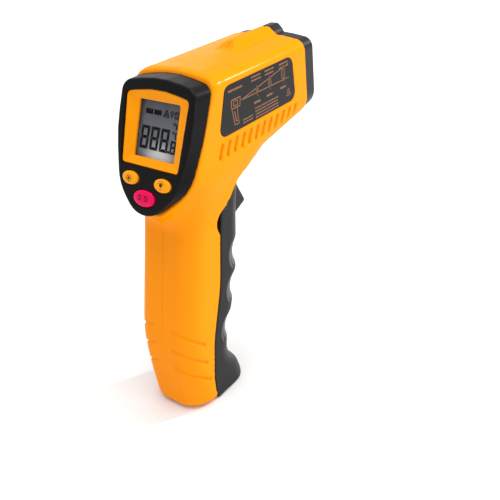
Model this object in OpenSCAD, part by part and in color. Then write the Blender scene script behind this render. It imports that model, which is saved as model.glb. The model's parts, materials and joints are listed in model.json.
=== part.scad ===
// Hand-held infrared thermometer: pistol body standing on the flat end of its grip.
// +X is the user's right, +Y points along the barrel to the nose, +Z is up.
// The origin is the centre of the flat grip end.

/* [Barrel] */
// Half of the barrel's width
barrel_half = 20.8; // [20.4:0.1:21.2]
// How far the rim round the display stands out of the barrel's sides
rim = 0.7; // [0.3:0.1:1.0]
// Height of the barrel's top edge above the grip end
barrel_top = 150.8; // [150.4:0.1:151.2]
// Distance of the joint between body and nose ring from the origin
nose_joint = 75.5; // [74:0.5:76.5]
// Distance of the front face from the origin
nose_front = 83.2; // [82.5:0.1:84]
// Height of the sight ridge's top
ridge_top = 153; // [152.6:0.1:153.5]
// Height of the lens axis
axis_z = 130.5; // [130:0.1:131]
// Height of the laser axis
laser_z = 144.6; // [144.2:0.1:144.8]

/* [Grip] */
// Half of the grip's width
grip_half = 16.3; // [16:0.1:16.8]
// Half of the grip's width at its lower end
foot_half = 14; // [13.6:0.1:14.4]
// Depth of the finger grooves
groove_depth = 2; // [0.5:0.1:2.5]

/* [Display] */
// Lean of the display face from upright
face_tilt = 22.3; // [21:0.1:23]
// Half of the window's width
window_half_u = 10.65; // [9:0.05:11]
// Half of the window's height
window_half_v = 11.25; // [9:0.05:11.5]
// How far the keys travel
key_travel = 0.8; // [0.3:0.1:0.9]

/* [Trigger] */
// Half of the trigger's thickness
trigger_half = 3; // [2:0.1:3.2]

/* [Hidden] */
$fn = 48;

// Colours
yellow = [1.0, 0.66, 0.02];
black = [0.09, 0.09, 0.1];
crimson = [0.9, 0.02, 0.3];
steel = [0.72, 0.73, 0.75];
brass = [0.8, 0.62, 0.25];
board_green = [0.05, 0.35, 0.16];

// Shell
wall = 2;
gap = 0.3;
slack = 0.05;
far = 90;

// Plane where the body meets the black bezel: a point on it and its lean from upright
joint_y = 12.3;
joint_z = 146.3;
joint_lean = 27.1;

// Rear of the body, the height where the grip bends, and how far the rest leans forward
grip_back = -18.3;
bend_z = 38;
grip_lean = 13.8;

// Display face: its centre, and the depths of what lies behind it
face_y = -2.7;
face_z = 130.8;
frame_depth = 0.5;
frame_back = 3.4;
frame_lip = 0.8;
window_back = 4.2;
panel_back = 6.4;
light_back = 8.2;
board_front = 9.2;
board_back = 10.8;
bezel_plate = 2.2;
bezel_wall = 1.3;
glass = [24.4, 26];
panel = [24.4, 28];
post_places = [[-14.2, 12], [14.2, 12]];
post_r = 1.6;

// Keys: place on the face, half width, half height, how far each stands proud
side_key = [8.7, -20.1, 4.25, 2.7];
unit_key = [0, -26.9, 5.6, 3.3];
key_proud = 1.2;
key_flange = 0.7;
key_spread = 0.5;
key_play = 0.1;

// Underside of the barrel: a point on it and its slope
under_y = 34;
under_z = 107.2;
under_slope = 9.7;

// Trigger pin, the plunger it works, and the spring over its rear arm
pivot = [20, 106];
plunger_z = 98;
spring_y = 11.8;
spring_foot = 107.6;
spring_head = 117;
pin_r = 1.25;

// Hinge of the battery cover, in the toe of the grip
hinge = [11.8, 5];
hinge_r = 1.5;
toe_r = 16.4;
lug = [4.4, 7];

// Batteries: lower end, lean, radius, length and place left and right of the middle
bay_y = -8.6;
bay_z = 22.5;
bay_lean = 9.5;
cell_r = 5.2;
cell_length = 43.2;
cell_x = 5.6;

// Walls of the nose ring
nose_wall = 2;
nose_plate = 1.4;

// Optics along the barrel
tube_r = 7.5;
tube_back = 44;
tube_front = 70;

// Screws that join the halves: [distance forward, height]
screw_places = [[69, 118.6], [36, 114.2], [27, 142], [0.5, 77], [-11, 12]];
screw_r = 1;
head_r = 2.4;

// ---------------------------------------------------------------- outlines

function unit(v) = v / norm(v);
function left_of(v) = [-v[1], v[0]];
function flat(c) = [c[0], c[1]];
function next(c, i) = flat(c[(i + 1) % len(c)]);
function last(c, i) = flat(c[(i + len(c) - 1) % len(c)]);

// Corners [u, v, radius] of an anticlockwise outline, moved inwards by d
function inset(c, d) = [
    for (i = [0:len(c) - 1])
        let (q = flat(c[i]), in = q - last(c, i), out = next(c, i) - q,
             a = left_of(unit(in)), b = left_of(unit(out)),
             p = q + d * (a + b) / (1 + a * b),
             r = c[i][2] - (cross(in, out) > 0 ? d : -d))
        [p[0], p[1], c[i][2] == 0 ? 0 : max(0.2, r)]
];

// One corner of an outline as an arc
function bend(p, q, s, r) =
    let (a = unit(p - q), b = unit(s - q), half = acos(a * b) / 2,
         centre = q + unit(a + b) * r / sin(half),
         start = q + a * r / tan(half) - centre,
         turn = (180 - 2 * half) * (cross(q - p, s - q) > 0 ? 1 : -1),
         steps = max(2, ceil(abs(turn) / 12)))
    [for (k = [0:steps])
        let (t = turn * k / steps)
        centre + [start[0] * cos(t) - start[1] * sin(t),
                  start[0] * sin(t) + start[1] * cos(t)]];

// Points of an outline given by its corners
function rounded(c) = [
    for (i = [0:len(c) - 1])
        each c[i][2] == 0 ? [flat(c[i])] : bend(last(c, i), flat(c[i]), next(c, i), c[i][2])
];

// Side view of the body, without bezel and nose ring: [forward, up, radius]
function body_side(front) = [
    [-18.3, 0, 4.5], [19.2, 0, 2.5], [17.6, 9, 5], [10.6, 21, 9], [18.3, 43, 12],
    [24, 59, 20], [26.9, 76, 30], [28.8, 90, 30], [31, 99, 12], [34, under_z, 0],
    [front, under_z + (front - 34) * tan(under_slope), 0], [front, ridge_top + 4, 0],
    [17.5, ridge_top + 4, 0], [-12.3, 98, 2], [-5.2, 91.5, 8], [-18.3, 38, 45]
];

// Line between body and battery cover: [forward, up, radius]
cover_side = [
    [-4.9, -6, 0], [60, -6, 0], [60, 107.9, 0], [33.6, 107.6, 0], [22, 102, 14],
    [13, 92.5, 12], [9.9, 76, 25], [6.9, 58, 60], [-1.6, 33, 40], [-4.9, 14, 30]
];

// Black frame on the display face: [right, up the face, radius]
shield_half = [[0, 20.6, 60], [-19.2, 17.3, 5], [-19.8, -2, 60], [-15, -24, 20]];
shield = concat(shield_half, [[0, -39.4, 12.4]],
                [for (i = [3:-1:1]) [-shield_half[i][0], shield_half[i][1], shield_half[i][2]]]);

// Yellow inner frame of the display
frame_outline = [
    [-15.1, -14.7, 1.5], [15.1, -14.7, 1.5], [16.4, 13.4, 2], [0, 16.8, 60], [-16.4, 13.4, 2]
];

// Side plate: [forward, up, radius]
label_outline = [[12.2, 125, 3], [66, 125, 4], [65, 144.4, 4], [18.6, 144.4, 4]];

// ---------------------------------------------------------------- placing

// Draws a side view and gives it a width from x0 to x1
module side(points, x0, x1) {
    translate([x0, 0, 0]) rotate([90, 0, 90])
        linear_extrude(x1 - x0) polygon(points);
}

// Draws a front view and gives it a depth from y0 to y1
module along_y(y0, y1) {
    translate([0, y1, 0]) rotate([90, 0, 0]) linear_extrude(y1 - y0) children();
}

// Local Z is the display face's outward normal, local Y points up the face
module on_face() {
    translate([0, face_y, face_z]) rotate([90 - face_tilt, 0, 0]) children();
}

// A flat layer on the face between two depths
module layer(front, back) {
    translate([0, 0, -back]) linear_extrude(back - front) children();
}

// A layer on the face whose sides run straight forward along the barrel
module forward_layer(front, back) {
    multmatrix([[1, 0, 0, 0], [0, 1, -tan(face_tilt), 0], [0, 0, 1, 0], [0, 0, 0, 1]])
        layer(front, back) children();
}

// A bar along X between x0 and x1, at [forward, up]
module bar(at, r, x0, x1) {
    translate([x0, at[0], at[1]]) rotate([0, 90, 0]) cylinder(r = r, h = x1 - x0);
}

// A bar along Y between y0 and y1, at height z
module rod(r, y0, y1, z = axis_z, x = 0) {
    translate([x, y0, z]) rotate([-90, 0, 0]) cylinder(r = r, h = y1 - y0);
}

module box(low, high) {
    translate(low) cube(high - low);
}

// Local Z runs up the batteries
module in_bay() {
    translate([0, bay_y, bay_z]) rotate([-bay_lean, 0, 0]) children();
}

// A tube of radius r along points
module lead(points, r) {
    sides = 8;
    n = len(points);
    function way(i) = unit(points[min(i + 1, n - 1)] - points[max(i - 1, 0)]);
    function across(i) = unit(cross(way(i), [0.1, 0.2, 1]));
    rings = [for (i = [0:n - 1]) for (k = [0:sides - 1])
        points[i] + r * (across(i) * cos(360 * k / sides)
                         + cross(way(i), across(i)) * sin(360 * k / sides))];
    ends = [[for (k = [0:sides - 1]) k],
            [for (k = [sides - 1:-1:0]) (n - 1) * sides + k]];
    skin = [for (i = [0:n - 2]) for (k = [0:sides - 1])
        let (a = i * sides + k, b = i * sides + (k + 1) % sides)
        each [[a, a + sides, b], [b, a + sides, b + sides]]];
    polyhedron(rings, concat(ends, skin));
}

// A coil spring along Z: mean radius, wire radius, height and turns
function coil(r, wire, height, turns) = [
    for (i = [0:turns * 10])
        [r * cos(36 * i), r * sin(36 * i), wire + (height - 2 * wire) * i / (turns * 10)]
];

// Points of a smooth curve through the given ones
function curve(p, steps) = concat(
    [for (i = [0:len(p) - 2]) for (k = [0:steps - 1])
        let (t = k / steps, a = p[max(i - 1, 0)], b = p[i], c = p[i + 1],
             d = p[min(i + 2, len(p) - 1)])
        0.5 * (2 * b + (c - a) * t + (2 * a - 5 * b + 4 * c - d) * t * t
               + (3 * b - a - 3 * c + d) * t * t * t)],
    [p[len(p) - 1]]);

// ---------------------------------------------------------------- body volumes

// Space in front of the joint between body and bezel, from d to depth behind it
module before_bezel(d = 0, depth = 2 * far) {
    translate([0, joint_y, joint_z]) rotate([-joint_lean, 0, 0])
        box([-far, d, -far], [far, depth, far]);
}

// Crowned roof and upright sides of the barrel
module barrel_roof(d, y0, y1) {
    corners = [[-barrel_half, 90, 0], [barrel_half, 90, 0],
               [barrel_half, barrel_top - 2.6, 5], [0, barrel_top, 80],
               [-barrel_half, barrel_top - 2.6, 5]];
    along_y(y0, y1) polygon(rounded(inset(corners, d)));
}

// Rounded underside of the barrel, which rises towards the nose
module barrel_keel(d) {
    corners = [[-barrel_half, 0, 9], [barrel_half, 0, 9], [barrel_half, far, 0],
               [-barrel_half, far, 0]];
    translate([0, under_y, under_z]) rotate([under_slope, 0, 0])
        along_y(-far, far) polygon(rounded(inset(corners, d)));
}

// Plan view with rounded corners
module plan(half, back, front, r, d, z0, z1) {
    corners = [[-half, back, r], [half, back, r], [half, front, r], [-half, front, r]];
    translate([0, 0, z0]) linear_extrude(z1 - z0) polygon(rounded(inset(corners, d)));
}

module barrel(d, front) {
    intersection() {
        side(rounded(inset(body_side(front), d)), -far, far);
        before_bezel(d);
        barrel_roof(d, -40, far);
        barrel_keel(d);
        plan(barrel_half, -13, 2 * far, 14, d, 80, 160);
    }
}

module neck(d) {
    intersection() {
        side(rounded(inset(body_side(nose_joint), d)), -far, far);
        before_bezel(d);
        plan(grip_half, -13, 40, 12, d, 91 + d, 112);
    }
}

// Grip: leaning above its bend, upright below it
module grip(d) {
    taper = [[-foot_half, -5, 0], [foot_half, -5, 0], [foot_half, 0, 2], [grip_half, 42, 60],
             [grip_half, 120, 0], [-grip_half, 120, 0], [-grip_half, 42, 60],
             [-foot_half, 0, 2]];
    section = [[-grip_half, 0, 10], [grip_half, 0, 10], [grip_half, 50, 0],
               [-grip_half, 50, 0]];
    intersection() {
        side(rounded(inset(body_side(nose_joint), d)), -far, far);
        along_y(-40, far) polygon(rounded(inset(taper, d)));
        union() {
            translate([0, grip_back, -1])
                linear_extrude(bend_z + 1) polygon(rounded(inset(section, d)));
            translate([0, grip_back, bend_z]) rotate([-grip_lean, 0, 0]) translate([0, 0, -6])
                intersection() {
                    linear_extrude(76) polygon(rounded(inset(section, d)));
                    rotate([grip_lean, 0, 0]) box([-far, -far, 5.8], [far, far, far]);
                }
        }
    }
}

module ridge(y0, y1, x0, x1) {
    section = [[-3, barrel_top - 2, 0], [3, barrel_top - 2, 0], [2.7, barrel_top, 0],
               [1.7, ridge_top, 0.5], [-1.7, ridge_top, 0.5], [-2.7, barrel_top, 0]];
    intersection() {
        along_y(y0, y1) polygon(rounded(section));
        box([x0, -far, 100], [x1, far, 200]);
    }
}

// Space that the battery cover takes out of the body, widened by d
module cover_space(d) {
    difference() {
        side(rounded(inset(cover_side, -d)), -far, far);
        difference() {
            box([-far, -10, -10], [far, hinge[0], hinge[1]]);
            bar(hinge, toe_r + d, -far, far);
        }
    }
}

// Slanted grooves below the side plate
module vents() {
    count = 12;
    for (i = [0:count - 1])
        translate([barrel_half - 0.8, 12.3 + 4.75 * i, 119.8]) rotate([-30, 0, 0])
            side(rounded([[-0.6, -3.3, 0.55], [0.6, -3.3, 0.55], [0.6, 3.3, 0.55],
                          [-0.6, 3.3, 0.55]]), 0, 3);
}

// Slanted grooves low on the grip's side
module grip_grooves() {
    for (i = [0:2])
        translate([grip_half - 0.9, -8.5, 36 - 9.5 * i]) rotate([48, 0, 0])
            side(rounded([[-0.8, -1, 0.75], [0.8, -1, 0.75], [0.5, 11, 0.3],
                          [-0.5, 11, 0.3]]), 0, 3);
}

// Half of the yellow body on the +X side, before its pocket, bosses and screw holes
module half_shell() {
    difference() {
        union() {
            barrel(0, nose_joint);
            intersection() {
                barrel(-rim, nose_joint);
                before_bezel(0, 4);
                box([-far, -far, 100], [far, far, barrel_top + rim]);
            }
            neck(0);
            grip(0);
        }
        barrel(wall, nose_joint + 10);
        neck(wall);
        grip(wall);
        on_face() layer(0, 14) polygon(rounded(inset(shield, 1.9)));
        cover_space(gap);
        box([-far, -far, -5], [0, far, 200]);
        vents();
        grip_grooves();
        side(rounded(inset(label_outline, -0.1)), barrel_half - 0.4, far);
        translate([grip_half + 3.6, 11, 86]) sphere(r = 8);
    }
}

// Bosses on the +X half: cover hinge, trigger pin and screws
module bosses() {
    intersection() {
        union() {
            bar(pivot, 3.4, trigger_half + 0.6, barrel_half - 1);
            for (p = screw_places)
                bar(p, 3, 0, p[1] > 100 ? barrel_half - 1 : foot_half + (p[1] > 50 ? 1 : -1));
        }
        union() {
            barrel(0.5, nose_joint);
            grip(0.5);
            neck(0.5);
        }
    }
    difference() {
        box([0, -7, 0], [foot_half - 2.6, hinge[0], 2.2]);
        bar(hinge, 6.4, -1, far);
    }
    bar(hinge, 2.8, lug[0], lug[1]);
    box([lug[0], 0, 2], [lug[1], hinge[0], hinge[1]]);
}

// Rib that backs the trigger spring
module rear_stop() {
    box([0, spring_y - 3.5, spring_head], [barrel_half - 1, spring_y + 3.5, spring_head + 2]);
}

// The +X half of the sight ridge, which ramps up at its rear end
module half_ridge() {
    difference() {
        ridge(43.5, nose_joint, 0, 5);
        translate([0, 43.5, 149.5]) rotate([-38, 0, 0]) box([-9, -20, -9], [9, 0, 20]);
    }
}

module half_body() {
    half_shell();
    bosses();
    rear_stop();
    half_ridge();
}

// Holes for the trigger pin and the hinge pin
module pin_holes(x0, x1) {
    bar(pivot, pin_r, x0, x1);
    bar(hinge, hinge_r + 0.01, x0, x1);
}

module right_shell() {
    color(yellow) difference() {
        half_body();
        pin_holes(0, 10);
        for (p = screw_places)
            bar(p, screw_r + slack, -1, 9);
    }
}

module left_shell() {
    color(yellow) difference() {
        mirror([1, 0, 0]) half_body();
        pin_holes(-10, 0);
        for (p = screw_places) {
            bar(p, screw_r + 0.3, -far, 1);
            bar(p, head_r + 0.3, -far, -4);
        }
    }
}

// ---------------------------------------------------------------- nose and optics

module nose_ring() {
    color(black) difference() {
        union() {
            intersection() {
                barrel_roof(0.4, nose_joint, nose_front);
                barrel_keel(0.4);
            }
            ridge(nose_joint, nose_front, -5, 5);
        }
        intersection() {
            barrel_roof(nose_wall, nose_joint - 1, nose_front - nose_plate);
            barrel_keel(nose_wall);
        }
        rod(10.1, nose_joint, far);
        rod(2.2, nose_joint, far, laser_z);
    }
}

// Cone in front of the lens
module lens_hood() {
    back = tube_front;
    front = nose_front - 0.4;
    plate = nose_front - nose_plate;
    color(black) translate([0, 0, axis_z]) rotate([-90, 0, 0]) rotate_extrude()
        polygon([[5.3, back], [9.2, front], [10, front], [10, plate], [11.6, plate],
                 [11.6, plate - 1.2], [9.4, plate - 1.2], [6.3, back]]);
}

module sensor_tube() {
    color(steel) difference() {
        rod(tube_r, tube_back, tube_front);
        rod(6.05, tube_front - 4, far);
        rod(5.4, tube_back + 6, far);
        rod(4.3, tube_back - 1, far);
        rod(4.75, tube_back - 1, tube_back + 1);
    }
}

// Lens with a domed front
module ir_lens() {
    dome = 20;
    color([0.3, 0.32, 0.36]) intersection() {
        rod(6, tube_front - 4, tube_front - 1);
        translate([0, tube_front - 1.2 - dome, axis_z]) sphere(r = dome, $fn = 96);
    }
}

module lens_ring() {
    color(brass) difference() {
        rod(6, tube_front - 1.1, tube_front);
        rod(5.2, 0, far);
    }
}

// Thermopile sensor in its can, with four pins
module thermopile() {
    color(steel) {
        rod(4.7, tube_back, tube_back + 0.9);
        difference() {
            rod(4.1, tube_back + 0.9, tube_back + 4.6);
            rod(2, tube_back + 4.2, far);
        }
        for (i = [0:3])
            rod(0.22, tube_back - 2.6, tube_back, axis_z + 2 * sin(45 + 90 * i), 2 * cos(45 + 90 * i));
    }
}

module sensor_board() {
    color(board_green) difference() {
        rod(tube_r, tube_back - 1.6, tube_back);
        for (i = [0:3])
            rod(0.32, 0, far, axis_z + 2 * sin(45 + 90 * i), 2 * cos(45 + 90 * i));
    }
}

// Plate across the barrel that holds the sensor tube and the laser
module optics_bracket() {
    half = barrel_half - wall - 0.2;
    color(black) difference() {
        along_y(58.4, 60.6) polygon(rounded([[-half, 124, 3], [half, 124, 3], [half, 144, 3],
            [5, 147.4, 3], [-5, 147.4, 3], [-half, 144, 3]]));
        rod(tube_r + 0.02, 0, far);
        rod(3.02, 0, far, laser_z);
    }
}

module laser_module() {
    color(brass) difference() {
        rod(3, 57, nose_front - 5.2, laser_z);
        rod(2.3, 59, far, laser_z);
    }
}

module laser_lens() {
    color([0.75, 0.85, 0.9]) rod(2.28, nose_front - 7.2, nose_front - 5.6, laser_z);
}

// ---------------------------------------------------------------- display

module key_shape(key, grow = 0) {
    points = 32;
    polygon([for (k = [0:points - 1])
        [key[0] + (key[2] + grow) * cos(360 * k / points),
         key[1] + (key[3] + grow) * sin(360 * k / points)]]);
}

function left_key() = [-side_key[0], side_key[1], side_key[2], side_key[3]];
keys = [left_key(), side_key, unit_key];

module display_bezel() {
    color(black) on_face() difference() {
        intersection() {
            forward_layer(0, 14) polygon(rounded(shield));
            behind_joint();
        }
        forward_layer(bezel_plate, 20) polygon(rounded(inset(shield, bezel_wall)));
        layer(-1, 20) polygon(rounded(inset(frame_outline, -0.1)));
        for (k = keys)
            layer(-1, 20) key_shape(k, 0.25);
    }
}

// Space behind the joint plane, in the face's own directions
module behind_joint() {
    rise = joint_y - face_y;
    climb = joint_z - face_z;
    up = rise * sin(face_tilt) + climb * cos(face_tilt);
    depth = rise * cos(face_tilt) - climb * sin(face_tilt);
    translate([0, up, -depth]) rotate([face_tilt - joint_lean, 0, 0])
        box([-40, -90, 0], [40, 40, 40]);
}

// Yellow frame, held behind the bezel's plate by a lip, with posts for the board
module lcd_frame() {
    color(yellow) on_face() difference() {
        union() {
            layer(frame_depth, bezel_plate) polygon(rounded(frame_outline));
            intersection() {
                layer(bezel_plate, frame_back)
                    polygon(rounded(inset(frame_outline, -frame_lip)));
                layer(0, 9) polygon(rounded(inset(shield, 2)));
            }
            for (p = post_places)
                translate([p[0], p[1], -board_front])
                    cylinder(r = post_r, h = board_front - bezel_plate);
        }
        layer(0, 9) square([2 * window_half_u, 2 * window_half_v], center = true);
        for (p = post_places)
            translate([p[0], p[1], -board_front - 1]) cylinder(r = 0.85, h = 6);
    }
}

module lcd_window() {
    color([0.8, 0.85, 0.9, 0.4]) on_face() layer(frame_back, window_back)
        square(glass, center = true);
}

module lcd_panel() {
    color([0.45, 0.46, 0.5]) on_face() layer(window_back, panel_back)
        square(panel, center = true);
}

// Light guide behind the upper part of the panel
module backlight() {
    color([0.9, 0.92, 0.95]) on_face() layer(panel_back, light_back)
        translate([-panel[0] / 2, -10.5]) square([panel[0], 24]);
}

module contact_strip() {
    color([0.85, 0.85, 0.8]) on_face() layer(panel_back, board_front)
        translate([-panel[0] / 2, -13.8]) square([panel[0], 2.2]);
}

// Board with two ears that the body halves close round
module main_board() {
    half = [[9, -30.6, 5], [13.6, -19, 6], [18.3, -12, 1], [18.3, -4, 1], [16.2, -2, 1],
            [16.2, 14.6, 2]];
    outline = concat(half, [for (i = [len(half) - 1:-1:0]) [-half[i][0], half[i][1], half[i][2]]]);
    color(board_green) on_face() difference() {
        layer(board_front, board_back) polygon(rounded(outline));
        for (p = post_places)
            translate([p[0], p[1], -20]) cylinder(r = 1.1, h = 20);
    }
}

// Chips, crystal and capacitors on the back of the board
module board_parts() {
    color([0.12, 0.12, 0.13]) on_face() {
        translate([-8, -6, -board_back - 1.4]) cube([10, 8, 1.4]);
        translate([5, -4, -board_back - 1]) cube([5, 4, 1]);
        translate([-2, 3, -board_back - 1.2]) cube([6, 4.5, 1.2]);
        translate([8, 4, -board_back - 2.2]) cylinder(r = 1.5, h = 2.2);
        translate([-11, 6, -board_back - 2.6]) cylinder(r = 2, h = 2.6);
        translate([6, -14, -board_back - 1]) cube([3, 1.6, 1]);
    }
}

module board_screws() {
    color(steel) on_face() for (p = post_places) {
        translate([p[0], p[1], -board_back - 1.3]) cylinder(r = 1.7, h = 1.3);
        translate([p[0], p[1], -board_back]) cylinder(r = 0.8, h = 5.5);
    }
}

module button_switches() {
    color([0.2, 0.2, 0.22]) on_face() for (k = keys)
        difference() {
            translate([k[0] - 3, k[1] - 3, -board_front]) cube([6, 6, 2.6]);
            translate([k[0], k[1], -board_front + 0.8]) cylinder(r = 1.75 + slack, h = 5);
        }
}

module buzzer() {
    color(black) on_face() difference() {
        translate([0, 12.6, -board_back - 4.4]) cylinder(r = 4.2, h = 4.4);
        translate([0, 12.6, -board_back - 5]) cylinder(r = 1, h = 1.4);
    }
}

// Key cap with a stepped top and a flange behind the bezel
module key_cap(key) {
    step = 0.4;
    flange = bezel_plate + key_play;
    on_face() {
        layer(step - key_proud, flange) key_shape(key);
        layer(-key_proud, step - key_proud) key_shape(key, -0.7);
        layer(flange, flange + key_flange) key_shape(key, key_spread);
    }
}

module key_plunger(key) {
    top = bezel_plate + key_play + key_flange;
    color(black) on_face() translate([key[0], key[1], -board_front + 0.8 + key_travel + 0.2])
        cylinder(r = 1.75, h = board_front - top - 1 - key_travel);
}

module laser_button() {
    color([1, 0.6, 0.08]) key_cap(left_key());
}

module backlight_button() {
    color([1, 0.6, 0.08]) key_cap(side_key);
}

module unit_button() {
    color(crimson) key_cap(unit_key);
}

module laser_key_plunger() {
    key_plunger(left_key());
}

module backlight_key_plunger() {
    key_plunger(side_key);
}

module unit_key_plunger() {
    key_plunger(unit_key);
}

// ---------------------------------------------------------------- trigger

trigger_side = [
    [9.4, 104.2, 0.8], [13.2, 103.4, 1.5], [12.4, 100.4, 1], [12.4, 94.5, 2], [16.5, 90, 5],
    [21, 79, 6], [27, 73.6, 3], [36, 75.4, 12], [45.7, 79.4, 1.5], [42.4, 86.2, 14],
    [39.6, 92.4, 6], [34.4, 99.6, 4], [25, 102.4, 4], [24.2, 108.6, 3], [17, 110, 3],
    [14.5, 107.6, 2], [9.4, 107.6, 0.8]
];

// Window that lightens the part of the trigger inside the grip
trigger_window = [[16.6, 93.5, 1.5], [21.2, 82.5, 1.5], [24.4, 81, 1.5], [26.2, 92, 1.5],
                  [25.6, 98, 1.5], [16.6, 99.5, 1.5]];

module trigger() {
    color(black) difference() {
        side(rounded(trigger_side), -trigger_half, trigger_half);
        side(rounded(trigger_window), -9, 9);
        bar(pivot, pin_r + slack, -9, 9);
    }
}

module trigger_pin() {
    color(steel) bar(pivot, pin_r, -9.5, 9.5);
}

module trigger_spring() {
    color(steel) translate([0, spring_y, spring_foot])
        lead(coil(1.9, 0.25, spring_head - spring_foot, 6), 0.25);
}

module trigger_switch() {
    color([0.2, 0.2, 0.22]) difference() {
        box([-3, 4, plunger_z - 3], [3, 8, plunger_z + 3]);
        rod(1.5 + slack, 5, 20, plunger_z);
    }
}

module switch_plunger() {
    color([0.6, 0.1, 0.1]) rod(1.5, 6.6, 12.3, plunger_z);
}

module switch_board() {
    color(board_green) box([-7, 2.6, 90], [7, 4, 104]);
}

// ---------------------------------------------------------------- batteries

// Ends of the channels for the cells, and the thickness and nub height of the contacts
bay_low = -3.4;
bay_high = 46.4;
contact = 0.4;
nub = 1;

// Outline of the tray, in the batteries' own directions
tray = [[-12, -6.4, 6.2], [12, -6.4, 6.2], [12, 1.6, 0.6], [-12, 1.6, 0.6]];

module battery_tray() {
    color(black) in_bay() difference() {
        translate([0, 0, -5]) linear_extrude(53) polygon(rounded(tray));
        for (s = [-1, 1])
            translate([s * cell_x, 0, bay_low]) {
                cylinder(r = cell_r + 0.15, h = bay_high - bay_low);
                translate([-cell_r - 0.15, 0, 0])
                    cube([2 * cell_r + 0.3, 9, bay_high - bay_low]);
            }
        translate([-2, -3.5, bay_low]) cube([4, 12, contact + slack]);
    }
}

module cell() {
    cylinder(r = cell_r, h = cell_length);
    translate([0, 0, cell_length]) cylinder(r = 1.9, h = nub);
}

module battery_left() {
    color([0.2, 0.35, 0.6]) in_bay() translate([-cell_x, 0, 0]) cell();
}

module battery_right() {
    color([0.2, 0.35, 0.6]) in_bay() translate([cell_x, 0, cell_length]) rotate([180, 0, 0]) cell();
}

// A spring at the flat end of each cell
module battery_springs() {
    low = bay_low + contact;
    color(steel) in_bay() {
        translate([-cell_x, 0, low]) lead(coil(2.6, 0.3, -low, 3), 0.3);
        translate([cell_x, 0, cell_length])
            lead(coil(2.6, 0.3, bay_high - contact - cell_length, 3), 0.3);
    }
}

// One plate joins the cells below, two stand apart above; a dimple meets each cell's nub
module battery_contacts() {
    top = bay_high - contact;
    color(steel) in_bay() {
        translate([-9.4, -3.4, bay_low]) cube([18.8, 7.4, contact]);
        translate([cell_x, 0, bay_low + contact / 2])
            cylinder(r = 2.2, h = -nub - bay_low - contact / 2);
        for (s = [-1, 1])
            translate([s * cell_x - 3.6, -3.4, top]) cube([7.2, 7.4, contact]);
        translate([-cell_x, 0, cell_length + nub])
            cylinder(r = 2.2, h = top + contact / 2 - cell_length - nub);
    }
}

// ---------------------------------------------------------------- battery cover

// Front of the grip, the joint with the body and the front wall's thickness, by height
front_line = [[0, 19.2], [3, 19], [9, 17.2], [13, 14.2], [17, 12], [22, 11.2], [28, 12.4],
              [36, 15.6], [43, 18.3], [51, 21.2], [59, 23.8], [67, 25.4], [76, 26.8],
              [90, 28.8], [99, 31], [107, 33.9]];
joint_line = [[0, -4.6], [14, -4.6], [22, -3.4], [33, -1.1], [46, 3.2], [58, 7], [76, 10.2],
              [84, 11.3], [92.5, 13.9], [97, 17.3], [102, 22.8], [107, 33]];
wall_line = [[0, 2.4], [9, 2.4], [22, 2.8], [30, 4.2], [76, 4.2], [92, 3.6], [102, 3],
             [107, 0.4]];
width_line = [[0, foot_half - 0.5], [2, foot_half], [42, grip_half], [110, grip_half]];

// Half of the cover's outline at height z, from the joint to the middle of the front
function cover_edge(z, d, front) =
    let (w = lookup(z, width_line) - d, y0 = lookup(z, joint_line), y1 = front,
         r = min(10 - d, y1 - y0 - 0.05, w - 1), steps = 8)
    concat([[w, y0]],
           [for (k = [0:steps])
               let (a = 90 * k / steps)
               [w - r + r * cos(a), y1 - r + r * sin(a)]]);

// A right-hand edge followed by its mirror image
function both_sides(e) = concat(e, [for (i = [len(e) - 1:-1:0]) [-e[i][0], e[i][1]]]);

function cover_ring(z) =
    let (y1 = lookup(z, front_line),
         outer = both_sides(cover_edge(z, 0, y1)),
         inner = both_sides(cover_edge(z, wall, y1 - lookup(z, wall_line))))
    [for (p = concat(outer, [for (i = [len(inner) - 1:-1:0]) inner[i]])) [p[0], p[1], z]];

module cover_skin() {
    levels = [0, 2, 4, 7, 9, 11, 13, 15, 17, 19.5, 22, 25, 28, 33, 38, 43, 48, 54, 59, 64, 70,
              76, 84, 90, 94, 97, 100, 102, 104, 106];
    rings = [for (z = levels) cover_ring(z)];
    n = len(rings[0]);
    top = (len(levels) - 1) * n;
    faces = concat(
        [for (i = [0:len(levels) - 2]) for (k = [0:n - 1])
            let (a = i * n + k, b = i * n + (k + 1) % n)
            each [[a, a + n, b], [b, a + n, b + n]]],
        [for (k = [0:n / 2 - 2])
            let (a = n - 1 - k)
            each [[k, k + 1, a], [k + 1, a - 1, a],
                  [top + k, top + a, top + k + 1], [top + k + 1, top + a, top + a - 1]]]);
    polyhedron([for (r = rings) each r], faces);
}

// Finger grooves: height of each and how far its axis stands forward
finger_grooves = [[67, 25.4], [50.5, 21.0], [32, 14.2]];

module battery_cover() {
    groove_r = 10;
    color(black) difference() {
        union() {
            cover_skin();
            intersection() {
                linear_extrude(2.2) polygon(both_sides(cover_edge(1, 1, 18.6)));
                union() {
                    bar(hinge, 6.1, -20, 20);
                    box([-20, hinge[0] + 2, 0], [20, 30, 10]);
                }
            }
            for (s = [0, 1])
                mirror([s, 0, 0]) {
                    bar(hinge, 3, lug[1] + gap, foot_half - 1);
                    box([grip_half - 4.4, 5.8, 79.5], [grip_half - 2.3, 16.5, 92.5]);
                    box([grip_half - 4.4, 14.3, 79.5], [grip_half - 1.8, 16.5, 92.5]);
                }
        }
        for (g = finger_grooves)
            bar([g[1] + groove_r - groove_depth, g[0]], groove_r, -30, 30);
        box([-trigger_half - 0.6, 0, 69.6], [trigger_half + 0.6, 50, 103.6]);
        bar(hinge, hinge_r + slack, -foot_half + 1.3, foot_half - 1.3);
        for (s = [0, 1])
            mirror([s, 0, 0])
                box([lug[0] - gap, 0, -1], [lug[1] + gap, hinge[0] + 4, 2.4]);
        difference() {
            box([-far, -10, -1], [far, hinge[0], hinge[1]]);
            bar(hinge, toe_r, -far, far);
        }
    }
}

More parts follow.
